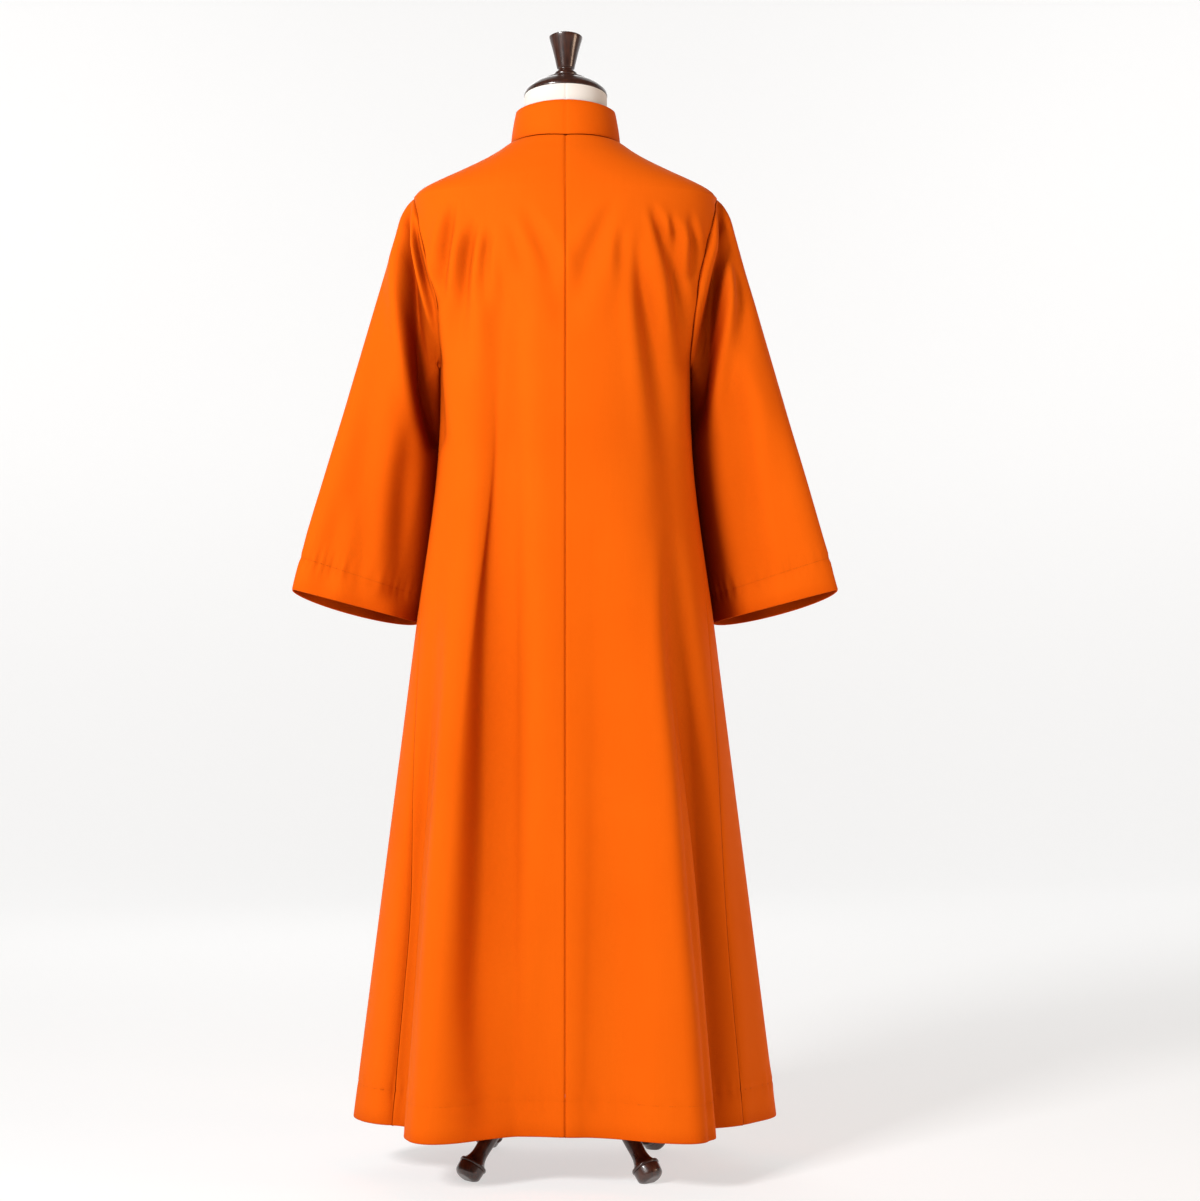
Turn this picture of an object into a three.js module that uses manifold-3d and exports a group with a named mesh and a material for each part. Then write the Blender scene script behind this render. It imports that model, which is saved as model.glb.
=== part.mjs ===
// Choir cassock on a limbless dress form.
// Millimetres, +Z up, the floor at z = 0. The front faces -Y and the wearer's left is +X.
// Every cloth piece is a thin wall. A bearing is the angle round the body: 0 at centre back,
// a quarter turn at the wearer's left side and half a turn at centre front.
import * as THREE from 'three';
import { mergeVertices } from 'three/addons/utils/BufferGeometryUtils.js';
import Module from 'manifold-3d';

const wasm = await Module();
wasm.setup();

// Cloth and seams
const CLOTH = 1.6;
const SEAM_GAP = 0.3;
const LAP_GAP = 0.4;
const LAP_REACH = 20;
const COLLAR_END_GAP = 1.2;
const SHARPEST_MITRE = 0.45;

// Heights
const HEM_Z = 70;
const UNDERARM_Z = 1147;
const SHOULDER_TIP_Z = 1397;
const HIGHEST_SECTION_Z = 1485;

// Neck seam and collar
const NECK = { half: 80, depth: 76 };
const COLLAR_TOP = { half: 72.6, depth: 67.5, forward: 4, backZ: 1529.7, sideZ: 1524.4, frontZ: 1488 };

// Armhole: half of its width from front to back, on the body
const ARMHOLE_HALF_WIDTH = 61;

// Level sections of the body without its folds: half-width, depth behind and before, roundness
const SECTIONS = [
  { z: 70, half: 304.6, back: 174, front: 176, round: 1.8 },
  { z: 400, half: 263, back: 164, front: 165, round: 1.9 },
  { z: 762, half: 217.4, back: 152, front: 153, round: 2.05 },
  { z: 1040, half: 183.5, back: 142.5, front: 143, round: 2.15 },
  { z: 1103, half: 181.5, back: 140.5, front: 140.5, round: 2.2 },
  { z: 1147, half: 181.5, back: 138.5, front: 139, round: 2.2 },
  { z: 1200, half: 190.7, back: 136, front: 137.5, round: 2.2 },
  { z: 1255, half: 204.5, back: 133, front: 134, round: 2.2 },
  { z: 1290, half: 212.5, back: 131, front: 131, round: 2.2 },
  { z: 1326, half: 220, back: 128, front: 126, round: 2.2 },
  { z: 1350, half: 223, back: 124.5, front: 121, round: 2.2 },
  { z: 1397, half: 221, back: 113.5, front: 102, round: 2.2 },
  { z: 1407, half: 211, back: 110.5, front: 95, round: 2.2 },
  { z: 1416, half: 194.6, back: 107.5, front: 88.5, round: 2.2 },
  { z: 1433, half: 157, back: 100.5, front: 75, round: 2.2 },
  { z: 1451.5, half: 118.7, back: 91.5, front: 54, round: 2.2 },
  { z: 1462, half: 101, back: 85, front: 41, round: 2.2 },
  { z: 1476, half: 80, back: 76.4, front: 22, round: 2.2 },
  { z: 1485, half: 55, back: 68, front: 4, round: 2.2 },
];

// Bearing of the side seams, in degrees: they swing to the back on the way down
const SIDE_SEAM = [
  { z: 70, bearing: 60 },
  { z: 306, bearing: 60 },
  { z: 700, bearing: 68 },
  { z: 1000, bearing: 82 },
  { z: 1147, bearing: 90 },
];

// Folds of the skirt at the hem: the side they are on, their two feet and crest as bearings in
// degrees, how far they turn by the height where they begin, and their height, negative in a hollow
const FOLDS = [
  { side: 1, low: 12, crest: 26, high: 52, turn: 11, begins: 1190, height: 91, growth: 1.35 },
  { side: 1, low: 44, crest: 56, high: 74, turn: 6, begins: 900, height: -12, growth: 1.2 },
  { side: -1, low: 4, crest: 26, high: 46, turn: 8, begins: 1060, height: 86, growth: 1.3 },
  { side: -1, low: 46, crest: 64, high: 86, turn: 4, begins: 900, height: -7, growth: 1.2 },
  { side: 1, low: 126, crest: 154, high: 172, turn: -6, begins: 1100, height: 90, growth: 1.3 },
  { side: 1, low: 96, crest: 116, high: 130, turn: -4, begins: 820, height: -16, growth: 1.2 },
  { side: -1, low: 128, crest: 152, high: 174, turn: -8, begins: 1010, height: 86, growth: 1.35 },
  { side: -1, low: 94, crest: 112, high: 130, turn: -5, begins: 760, height: -20, growth: 1.2 },
];

// Sleeve rings from the armhole to the cuff: the outer point, the inner point and half the depth.
// A ring's inner point lies towards the back, where it clears the side of the body.
const SLEEVE_RINGS = [
  { step: 0, outX: 221, outY: 0, outZ: 1397, inX: 181.5, inY: 0, inZ: 1147, depth: 61 },
  { step: 1, outX: 228.5, outY: 0, outZ: 1390, inX: 183.5, inY: -8, inZ: 1142, depth: 61.5 },
  { step: 2, outX: 240, outY: 0, outZ: 1371, inX: 183.5, inY: -20, inZ: 1130, depth: 62 },
  { step: 3, outX: 249, outY: 0, outZ: 1340, inX: 182, inY: -33, inZ: 1114, depth: 62 },
  { step: 4, outX: 262, outY: 0, outZ: 1293, inX: 180.5, inY: -45, inZ: 1092, depth: 61 },
  { step: 5, outX: 279, outY: -1, outZ: 1235, inX: 180, inY: -52, inZ: 1062, depth: 58 },
  { step: 6, outX: 297, outY: -2, outZ: 1173, inX: 181.5, inY: -55, inZ: 1026, depth: 54 },
  { step: 7, outX: 317, outY: -3, outZ: 1104, inX: 186, inY: -55, inZ: 984, depth: 50 },
  { step: 8, outX: 337, outY: -4, outZ: 1035, inX: 192, inY: -54, inZ: 938, depth: 46 },
  { step: 9, outX: 357, outY: -5, outZ: 966, inX: 199, inY: -52, inZ: 888, depth: 42 },
  { step: 10, outX: 377, outY: -6, outZ: 897, inX: 206.5, inY: -49, inZ: 836, depth: 38 },
  { step: 11, outX: 397, outY: -6, outZ: 828, inX: 214.5, inY: -45, inZ: 780, depth: 34 },
];
const LAST_STEP = SLEEVE_RINGS.length - 1;
const CUFF_FRONT_DROP = 14;
const CUFF_DROP_BEGINS = 7;
const SLEEVE_BODY_FADE = 3.5;

// A soft hollow down the back and the front of each sleeve
const SLEEVE_HOLLOWS = [
  { turn: 95, width: 30, depth: 6, begins: 4 },
  { turn: 262, width: 34, depth: 5, begins: 5 },
];

// Rows and columns of the walls
const BACK_COLUMNS = 13;
const FRONT_COLUMNS = 13;
const LAP_COLUMNS = 2;
const SHOULDER_ROWS = 7;
const ARMHOLE_ROWS = 10;
const SKIRT_ROWS = 12;
const COLLAR_ROWS = 3;

// Dress form: sections of the covered torso below the shoulders, and of its neck
const TORSO_SECTIONS = [
  { z: 790, half: 120, back: 74, front: 74 },
  { z: 797, half: 142, back: 90, front: 90 },
  { z: 815, half: 154, back: 99, front: 98 },
  { z: 870, half: 158, back: 102, front: 100 },
  { z: 950, half: 146, back: 97, front: 92 },
  { z: 1040, half: 124, back: 88, front: 88 },
  { z: 1120, half: 132, back: 94, front: 98 },
  { z: 1220, half: 147, back: 103, front: 106 },
  { z: 1300, half: 158, back: 106, front: 102 },
  { z: 1360, half: 170, back: 102, front: 92 },
  { z: 1395, half: 180, back: 96, front: 82 },
];
const TORSO_SHOULDER_HALF = 184;
const TORSO_SHOULDER_LEVELS = [1408, 1418, 1424, 1431, 1439, 1447, 1456, 1464];
const TORSO_SHOULDER_NARROWING = 0.25;
const TORSO_ROUND = 2.2;
const TORSO_CLEAR = 8;
const REST_DROP = 2.7;
const NECK_SECTIONS = [
  { z: 1405, radius: 70 },
  { z: 1452, radius: 66 },
  { z: 1476, radius: 62 },
  { z: 1500, radius: 60.6 },
  { z: 1547.2, radius: 60.4 },
];
const NECK_TILT = THREE.MathUtils.degToRad(6);
const NECK_TILT_FROM_Z = 1500;

// Turned wood: profiles as [radius, height]
const CAP_PROFILE = [
  [0, 0], [59.4, 0], [61, 1.6], [59.8, 5.6], [55.5, 10.6], [49, 15.8], [40, 20.4], [34, 22.8],
  [32.5, 25], [26, 27.6], [0, 28],
];
const CAP_HEIGHT = 28;
const FINIAL_PROFILE = [
  [0, 0], [13.5, 0], [16.8, 2], [17.7, 4.6], [16.2, 8], [12.2, 11], [11.5, 13.2], [12.9, 15.4],
  [13.4, 17.5], [24.6, 61.9], [23.4, 63.7], [12.5, 68.6], [0, 69.9],
];
const LEG_PROFILE = [
  [0, 0], [9.5, 0], [15.5, 2.5], [18.4, 7.5], [19, 18], [18.3, 19], [20, 20.4], [20, 23],
  [16.5, 25], [12.8, 32], [11, 44], [12.5, 90], [14.5, 170], [14.5, 226], [0, 226],
];
const HUB_PROFILE = [
  [0, 150], [20, 150], [27, 158], [30, 172], [30, 214], [24, 226], [17, 232], [0, 232],
];
const POLE_RADIUS = 12.5;
const LEG_COUNT = 4;
const FOOT_RADIUS = 184;
const LEG_TOP_Z = 196;
const LEG_TOP_RADIUS = 14;
const LEG_TIP_RADIUS = 9;
const FOOT_SINK = 1.2;
const STAND_TURN = THREE.MathUtils.degToRad(4);
const TURNED_SIDES = 24;
const LEG_SIDES = 14;
const TORSO_SIDES = 28;

// Finishes
const ORANGE_TWILL = new THREE.MeshStandardMaterial({ color: 0xfb7016, roughness: 0.62, metalness: 0 });
const CREAM_COVER = new THREE.MeshStandardMaterial({ color: 0xf3ebe1, roughness: 0.85, metalness: 0 });
const DARK_WOOD = new THREE.MeshStandardMaterial({ color: 0x42231a, roughness: 0.32, metalness: 0 });

const QUARTER = Math.PI / 2;
const { degToRad, lerp, smoothstep, clamp } = THREE.MathUtils;

// Smooth, never overshooting value of one column of a table whose rows rise along key.
function valueAt(table, key, column, place) {
  const last = table.length - 1;
  const rise = (i) => (table[i + 1][column] - table[i][column]) / (table[i + 1][key] - table[i][key]);
  const slope = (i) => {
    if (i === 0) return rise(0);
    if (i === last) return rise(last - 1);
    const before = rise(i - 1);
    const after = rise(i);
    return before * after <= 0 ? 0 : (2 * before * after) / (before + after);
  };
  let i = 0;
  while (i < last - 1 && place > table[i + 1][key]) i += 1;
  const span = table[i + 1][key] - table[i][key];
  const t = clamp((place - table[i][key]) / span, 0, 1);
  const start = table[i][column];
  const end = table[i + 1][column];
  const bend = (1 - t) * slope(i) * span - t * slope(i + 1) * span;
  return lerp(start, end, t * t * (3 - 2 * t)) + t * (1 - t) * bend;
}

// ---------------------------------------------------------------- body surface

function sectionAt(z) {
  return {
    half: valueAt(SECTIONS, 'z', 'half', z),
    back: valueAt(SECTIONS, 'z', 'back', z),
    front: valueAt(SECTIONS, 'z', 'front', z),
    round: valueAt(SECTIONS, 'z', 'round', z),
  };
}

function depthTowards(section, y) {
  return y >= 0 ? section.back : section.front;
}

// How far the folds push the cloth out at a bearing.
function foldOut(bearing, z) {
  const degrees = THREE.MathUtils.radToDeg(Math.atan2(Math.sin(bearing), Math.cos(bearing)));
  let out = 0;
  for (const fold of FOLDS) {
    const up = clamp((z - HEM_Z) / (fold.begins - HEM_Z), 0, 1);
    const here = degrees * fold.side - fold.turn * up;
    const shape = here < fold.crest
      ? smoothstep(here, fold.low, fold.crest)
      : 1 - smoothstep(here, fold.crest, fold.high);
    out += fold.height * shape * (1 - up) ** fold.growth;
  }
  return out;
}

// Point of a section's rounded outline.
function roundedPlan(section, bearing, power) {
  const across = Math.sin(bearing);
  const along = Math.cos(bearing);
  const scale = (Math.abs(across) ** power + Math.abs(along) ** power) ** (-1 / power);
  return new THREE.Vector2(
    section.half * across * scale,
    depthTowards(section, along) * along * scale,
  );
}

function bodyPoint(bearing, z) {
  const section = sectionAt(z);
  const plan = roundedPlan(section, bearing, section.round);
  plan.multiplyScalar(1 + foldOut(bearing, z) / plan.length());
  return new THREE.Vector3(plan.x, plan.y, z);
}

function bodyNormal(bearing, z) {
  const turn = 0.006;
  const rise = 0.6;
  const round = bodyPoint(bearing + turn, z).sub(bodyPoint(bearing - turn, z));
  const up = bodyPoint(bearing, z + rise).sub(bodyPoint(bearing, z - rise));
  return up.cross(round).normalize();
}

// Height of the shoulder surface over a point of the plan.
function shoulderHeight(x, y) {
  const closeEnough = 0.001;
  let low = SHOULDER_TIP_Z - 1;
  let high = HIGHEST_SECTION_Z;
  while (high - low > closeEnough) {
    const middle = (low + high) / 2;
    const section = sectionAt(middle);
    const reach = (Math.abs(x) / section.half) ** section.round
      + (Math.abs(y) / depthTowards(section, y)) ** section.round;
    if (reach < 1) low = middle;
    else high = middle;
  }
  return (low + high) / 2;
}

function bearingOf(x, y, z) {
  const section = sectionAt(z);
  return Math.atan2(x / section.half, y / depthTowards(section, y));
}

function neckPlan(bearing) {
  return new THREE.Vector2(NECK.half * Math.sin(bearing), NECK.depth * Math.cos(bearing));
}

// A place on the body is its bearing and its height.
function shoulderPlace(neckBearing, tipBearing, t) {
  const tip = bodyPoint(tipBearing, SHOULDER_TIP_Z);
  const plan = neckPlan(neckBearing).lerp(new THREE.Vector2(tip.x, tip.y), t);
  const z = shoulderHeight(plan.x, plan.y);
  return { bearing: bearingOf(plan.x, plan.y, z), z };
}

// Bearing of the armhole seam at a height, behind or before the shoulder seam.
function armholeBearing(z, isBack) {
  const middle = (SHOULDER_TIP_Z + UNDERARM_Z) / 2;
  const rise = (SHOULDER_TIP_Z - UNDERARM_Z) / 2;
  const across = ARMHOLE_HALF_WIDTH * Math.sqrt(Math.max(0, 1 - ((z - middle) / rise) ** 2));
  const section = sectionAt(z);
  const depth = isBack ? section.back : section.front;
  const share = across / depth;
  const x = section.half * (1 - share ** section.round) ** (1 / section.round);
  const bearing = Math.atan2(x / section.half, share);
  return isBack ? bearing : Math.PI - bearing;
}

function armholeZ(step) {
  const middle = (SHOULDER_TIP_Z + UNDERARM_Z) / 2;
  const rise = (SHOULDER_TIP_Z - UNDERARM_Z) / 2;
  return middle + rise * Math.cos((Math.PI * step) / ARMHOLE_ROWS);
}

// ---------------------------------------------------------------- walls

// A cell of a wall is its outer point and the vector from there to the inner point.
function cellAt(place) {
  return {
    point: bodyPoint(place.bearing, place.z),
    inward: bodyNormal(place.bearing, place.z).multiplyScalar(-CLOTH),
  };
}

// The shared end face of two walls that meet at an angle.
function mitre(normalA, normalB) {
  const middle = normalA.clone().add(normalB).normalize();
  return middle.multiplyScalar(-CLOTH / Math.max(middle.dot(normalA), SHARPEST_MITRE));
}

// How far a cell on a seam moves back so that the two pieces are one seam gap apart.
function seamShift(along, inward, intoPiece) {
  const off = along.clone().cross(inward).normalize();
  return off.multiplyScalar((Math.sign(off.dot(intoPiece)) * SEAM_GAP) / 2);
}

function signedVolume(positions, faces) {
  const [a, b, c] = [new THREE.Vector3(), new THREE.Vector3(), new THREE.Vector3()];
  let volume = 0;
  for (const face of faces) {
    a.fromArray(positions, face[0] * 3);
    b.fromArray(positions, face[1] * 3);
    c.fromArray(positions, face[2] * 3);
    volume += a.dot(b.cross(c)) / 6;
  }
  return volume;
}

function geometryOf(positions, faces) {
  const isInsideOut = signedVolume(positions, faces) < 0;
  const outward = isInsideOut ? faces.map(([a, b, c]) => [a, c, b]) : faces;
  const geometry = new THREE.BufferGeometry();
  geometry.setAttribute('position', new THREE.Float32BufferAttribute(positions, 3));
  geometry.setIndex(outward.flat());
  geometry.computeVertexNormals();
  return geometry;
}

// A wall from rows of cells. A tube's rows close on themselves.
function wallGeometry(rows, isTube) {
  const columns = rows[0].length;
  const cells = rows.flat();
  const outer = cells.flatMap((cell) => cell.point.toArray());
  const inner = cells.flatMap((cell) => cell.point.clone().add(cell.inward).toArray());
  const positions = [...outer, ...inner];
  const inside = rows.length * columns;
  const at = (i, j) => i * columns + (j % columns);
  const faces = [];
  const quad = (a, b, c, d) => faces.push([a, b, c], [a, c, d]);
  const steps = isTube ? columns : columns - 1;
  const lastRow = rows.length - 1;
  for (let i = 0; i < lastRow; i += 1) {
    for (let j = 0; j < steps; j += 1) {
      quad(at(i, j), at(i, j + 1), at(i + 1, j + 1), at(i + 1, j));
      quad(inside + at(i, j), inside + at(i + 1, j), inside + at(i + 1, j + 1), inside + at(i, j + 1));
    }
  }
  for (let j = 0; j < steps; j += 1) {
    quad(at(0, j + 1), at(0, j), inside + at(0, j), inside + at(0, j + 1));
    quad(at(lastRow, j), at(lastRow, j + 1), inside + at(lastRow, j + 1), inside + at(lastRow, j));
  }
  if (!isTube) {
    for (let i = 0; i < lastRow; i += 1) {
      quad(at(i, 0), at(i + 1, 0), inside + at(i + 1, 0), inside + at(i, 0));
      quad(at(i + 1, steps), at(i, steps), inside + at(i, steps), inside + at(i + 1, steps));
    }
  }
  return geometryOf(positions, faces);
}

// ---------------------------------------------------------------- sleeves

// A point of the sleeve's ellipse: a turn of 0 is its outer line, a quarter is its back.
function ringPoint(step, turn) {
  const read = (column) => valueAt(SLEEVE_RINGS, 'step', column, step);
  const outer = new THREE.Vector3(read('outX'), read('outY'), read('outZ'));
  const inner = new THREE.Vector3(read('inX'), read('inY'), read('inZ'));
  const centre = outer.clone().add(inner).multiplyScalar(0.5);
  const long = outer.clone().sub(inner).multiplyScalar(0.5);
  const across = new THREE.Vector3(0, 1, 0);
  across.addScaledVector(long, -long.y / long.lengthSq()).normalize();
  let depth = read('depth');
  for (const hollow of SLEEVE_HOLLOWS) {
    const off = Math.min(1, Math.abs(THREE.MathUtils.radToDeg(turn) - hollow.turn) / hollow.width);
    depth -= hollow.depth * (1 - off * off) ** 2 * smoothstep(step, hollow.begins, LAST_STEP);
  }
  const point = centre.addScaledVector(long, Math.cos(turn)).addScaledVector(across, Math.sin(turn) * depth);
  const frontness = Math.max(0, -Math.sin(turn));
  point.z -= CUFF_FRONT_DROP * frontness * smoothstep(step, CUFF_DROP_BEGINS, LAST_STEP);
  return point;
}

const ARMHOLE_POINTS = ARMHOLE_ROWS * 2;

// The armhole seam of the left side, from the shoulder tip down the back and up the front.
function armholePlaces() {
  return Array.from({ length: ARMHOLE_POINTS }, (_, k) => {
    const isBack = k <= ARMHOLE_ROWS;
    const z = armholeZ(isBack ? k : ARMHOLE_POINTS - k);
    return { bearing: armholeBearing(z, isBack), z };
  });
}

function sleevePoint(step, k, seam) {
  const turn = (2 * Math.PI * k) / ARMHOLE_POINTS;
  const fade = (1 - clamp(step / SLEEVE_BODY_FADE, 0, 1)) ** 2;
  const correction = seam[k].clone().sub(ringPoint(0, turn)).multiplyScalar(fade);
  return ringPoint(step, turn).add(correction);
}

// Normal of a tube of points at one cell, pointing away from the tube's middle.
function tubeNormal(rings, i, k) {
  const count = rings[i].length;
  const round = rings[i][(k + 1) % count].clone().sub(rings[i][(k + count - 1) % count]);
  const lower = rings[Math.min(i + 1, rings.length - 1)][k];
  const upper = rings[Math.max(i - 1, 0)][k];
  const normal = lower.clone().sub(upper).cross(round).normalize();
  const middle = rings[i].reduce((sum, p) => sum.add(p), new THREE.Vector3()).divideScalar(count);
  return normal.dot(rings[i][k].clone().sub(middle)) < 0 ? normal.negate() : normal;
}

// The end faces that the sleeve and the panels share along the armhole.
function makeArmhole(mirror) {
  const side = new THREE.Vector3(mirror, 1, 1);
  const places = armholePlaces().map((place) => ({ bearing: place.bearing * mirror, z: place.z }));
  const seam = places.map((place) => bodyPoint(place.bearing, place.z));
  const plain = seam.map((point) => point.clone().multiply(side));
  const rings = Array.from({ length: SLEEVE_RINGS.length }, (_, step) => plain.map(
    (_point, k) => sleevePoint(step, k, plain).multiply(side),
  ));
  rings[0] = seam;
  const faces = seam.map((_, k) => mitre(
    bodyNormal(places[k].bearing, places[k].z),
    tubeNormal(rings, 0, k),
  ));
  return { seam, rings, faces };
}

function makeSleeve(armhole) {
  const rows = armhole.rings.map((ring, i) => ring.map((point, k) => ({
    point: point.clone(),
    inward: i === 0 ? armhole.faces[k] : tubeNormal(armhole.rings, i, k).multiplyScalar(-CLOTH),
  })));
  const count = ARMHOLE_POINTS;
  armhole.seam.forEach((point, k) => {
    const along = armhole.seam[(k + 1) % count].clone().sub(armhole.seam[(k + count - 1) % count]);
    const into = armhole.rings[1][k].clone().sub(point);
    rows[0][k].point.add(seamShift(along, armhole.faces[k], into));
  });
  return wallGeometry(rows, true);
}

// ---------------------------------------------------------------- collar

function collarPoint(bearing, t) {
  const plan = neckPlan(bearing);
  const base = new THREE.Vector3(plan.x, plan.y, shoulderHeight(plan.x, plan.y));
  const towardsBack = Math.cos(bearing);
  const endZ = towardsBack >= 0 ? COLLAR_TOP.backZ : COLLAR_TOP.frontZ;
  const top = new THREE.Vector3(
    COLLAR_TOP.half * Math.sin(bearing),
    COLLAR_TOP.depth * towardsBack - COLLAR_TOP.forward,
    lerp(COLLAR_TOP.sideZ, endZ, towardsBack ** 2),
  );
  return base.lerp(top, t);
}

function collarAlong(bearing, t) {
  const turn = 0.01;
  return collarPoint(bearing + turn, t).sub(collarPoint(bearing - turn, t));
}

function collarRise(bearing) {
  return collarPoint(bearing, 1).sub(collarPoint(bearing, 0));
}

function collarNormal(bearing, t) {
  return collarRise(bearing).cross(collarAlong(bearing, t)).normalize();
}

// The end face that the collar and the panels share at a bearing of the neck seam.
function neckFace(bearing) {
  const plan = neckPlan(bearing);
  const z = shoulderHeight(plan.x, plan.y);
  return mitre(bodyNormal(bearingOf(plan.x, plan.y, z), z), collarNormal(bearing, 0));
}

function makeCollar(neckBearings) {
  const end = Math.PI - COLLAR_END_GAP / 2 / NECK.half;
  const leftHalf = neckBearings.map((bearing) => Math.min(bearing, end));
  const bearings = [...leftHalf.slice(1).reverse().map((bearing) => -bearing), ...leftHalf];
  const rows = [];
  for (let i = 0; i <= COLLAR_ROWS; i += 1) {
    const t = i / COLLAR_ROWS;
    rows.push(bearings.map((bearing) => ({
      point: collarPoint(bearing, t),
      inward: i === 0 ? neckFace(bearing) : collarNormal(bearing, t).multiplyScalar(-CLOTH),
    })));
  }
  bearings.forEach((bearing, j) => {
    rows[0][j].point.add(seamShift(collarAlong(bearing, 0), rows[0][j].inward, collarRise(bearing)));
  });
  return wallGeometry(rows, false);
}

// ---------------------------------------------------------------- panels

// Where a column lies between a panel's centre edge and its side edge, from 0 to 1. A front
// starts past centre front by the lap, with one column on the centre line and one as far inside.
function backColumn(centre, side, j) {
  return lerp(centre, side, j / BACK_COLUMNS);
}

function frontColumn(side, lap, j) {
  if (j <= LAP_COLUMNS) return Math.PI + lap * (1 - j);
  return lerp(Math.PI - lap, side, (j - LAP_COLUMNS) / (FRONT_COLUMNS - LAP_COLUMNS));
}

// Rows of places of a left panel, from the neck seam to the hem.
function panelPlaces(isBack) {
  const columns = isBack ? BACK_COLUMNS : FRONT_COLUMNS;
  const column = (side, half, j) =>
    isBack ? backColumn(0, side, j) : frontColumn(side, LAP_REACH / half, j);
  const rows = [];
  const tipHalf = sectionAt(SHOULDER_TIP_Z).half;
  for (let i = 0; i < SHOULDER_ROWS; i += 1) {
    const row = [];
    for (let j = 0; j <= columns; j += 1) {
      const neck = column(QUARTER, NECK.half, j);
      row.push(shoulderPlace(neck, column(QUARTER, tipHalf, j), i / SHOULDER_ROWS));
    }
    rows.push(row);
  }
  const levelRow = (z, side) => {
    const { half } = sectionAt(z);
    rows.push(Array.from({ length: columns + 1 }, (_, j) => ({ bearing: column(side, half, j), z })));
  };
  for (let i = 0; i <= ARMHOLE_ROWS; i += 1) {
    const z = armholeZ(i);
    levelRow(z, armholeBearing(z, isBack));
  }
  for (let i = 1; i <= SKIRT_ROWS; i += 1) {
    const z = lerp(UNDERARM_Z, HEM_Z, i / SKIRT_ROWS);
    levelRow(z, degToRad(valueAt(SIDE_SEAM, 'z', 'bearing', z)));
  }
  return rows;
}

function neckBearingsOf(isBack) {
  const columns = isBack ? BACK_COLUMNS : FRONT_COLUMNS;
  return Array.from({ length: columns + 1 }, (_, j) => (
    isBack ? backColumn(0, QUARTER, j) : frontColumn(QUARTER, LAP_REACH / NECK.half, j)
  ));
}

// One panel: mirror is 1 on the left and -1 on the right, and isOver lifts a front over the other.
function makePanel(isBack, mirror, armhole, isOver) {
  const places = panelPlaces(isBack);
  const lastColumn = places[0].length - 1;
  const rows = places.map((row) => row.map(
    (place) => cellAt({ bearing: place.bearing * mirror, z: place.z }),
  ));
  const seamPoints = rows.map((row) => row.map((cell) => cell.point.clone()));

  neckBearingsOf(isBack).forEach((bearing, j) => {
    rows[0][j].inward = neckFace(bearing * mirror);
  });
  for (let i = 0; i <= ARMHOLE_ROWS; i += 1) {
    const k = isBack ? i : (ARMHOLE_POINTS - i) % ARMHOLE_POINTS;
    rows[SHOULDER_ROWS + i][lastColumn].inward = armhole.faces[k].clone();
  }

  if (isOver) {
    const lapped = rows.flatMap((row) => row.slice(0, LAP_COLUMNS + 1));
    for (const cell of lapped) cell.point.addScaledVector(cell.inward, -(CLOTH + LAP_GAP) / CLOTH);
  }

  const shifts = rows.map((row) => row.map(() => new THREE.Vector3()));
  const moveBack = (i, j, [i0, j0], [i1, j1], [iIn, jIn]) => {
    const along = seamPoints[i1][j1].clone().sub(seamPoints[i0][j0]);
    const into = seamPoints[iIn][jIn].clone().sub(seamPoints[i][j]);
    shifts[i][j].add(seamShift(along, rows[i][j].inward, into));
  };
  for (let j = 0; j <= lastColumn; j += 1) {
    moveBack(0, j, [0, Math.max(j - 1, 0)], [0, Math.min(j + 1, lastColumn)], [1, j]);
  }
  for (let i = 0; i < rows.length; i += 1) {
    const above = Math.max(i - 1, 0);
    const below = Math.min(i + 1, rows.length - 1);
    moveBack(i, lastColumn, [above, lastColumn], [below, lastColumn], [i, lastColumn - 1]);
    if (isBack) moveBack(i, 0, [above, 0], [below, 0], [i, 1]);
  }
  rows.forEach((row, i) => row.forEach((cell, j) => cell.point.add(shifts[i][j])));
  return wallGeometry(rows, false);
}

// ---------------------------------------------------------------- dress form and stand

function toManifold(geometry) {
  const sameSpot = 1e-4;
  const soup = geometry.toNonIndexed();
  const bare = new THREE.BufferGeometry().setAttribute('position', soup.attributes.position);
  const merged = mergeVertices(bare, sameSpot);
  return new wasm.Manifold(new wasm.Mesh({
    numProp: 3,
    vertProperties: new Float32Array(merged.attributes.position.array),
    triVerts: new Uint32Array(merged.index.array),
  }));
}

function fromManifold(solid) {
  const mesh = solid.getMesh();
  const geometry = new THREE.BufferGeometry();
  geometry.setAttribute('position', new THREE.BufferAttribute(new Float32Array(mesh.vertProperties), 3));
  geometry.setIndex(Array.from(mesh.triVerts));
  geometry.computeVertexNormals();
  return geometry;
}

// A closed solid through rings of points, with a flat fan at each end.
function stackGeometry(rings) {
  const count = rings[0].length;
  const positions = rings.flat().flatMap((point) => point.toArray());
  const faces = [];
  for (let i = 0; i < rings.length - 1; i += 1) {
    for (let k = 0; k < count; k += 1) {
      const next = (k + 1) % count;
      const [a, b, c, d] = [i * count + k, i * count + next, (i + 1) * count + next, (i + 1) * count + k];
      faces.push([a, b, c], [a, c, d]);
    }
  }
  const top = (rings.length - 1) * count;
  for (let k = 1; k < count - 1; k += 1) faces.push([0, k + 1, k], [top, top + k, top + k + 1]);
  return geometryOf(positions, faces);
}

function torsoSections() {
  const shoulders = TORSO_SHOULDER_LEVELS.map((z) => {
    const cloth = sectionAt(z + REST_DROP);
    const narrowing = (z - TORSO_SHOULDER_LEVELS[0]) * TORSO_SHOULDER_NARROWING;
    return {
      z,
      half: Math.min(cloth.half, TORSO_SHOULDER_HALF - narrowing),
      back: cloth.back - TORSO_CLEAR,
      front: Math.max(cloth.front - TORSO_CLEAR, cloth.front / 2),
    };
  });
  return [...TORSO_SECTIONS, ...shoulders];
}

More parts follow.
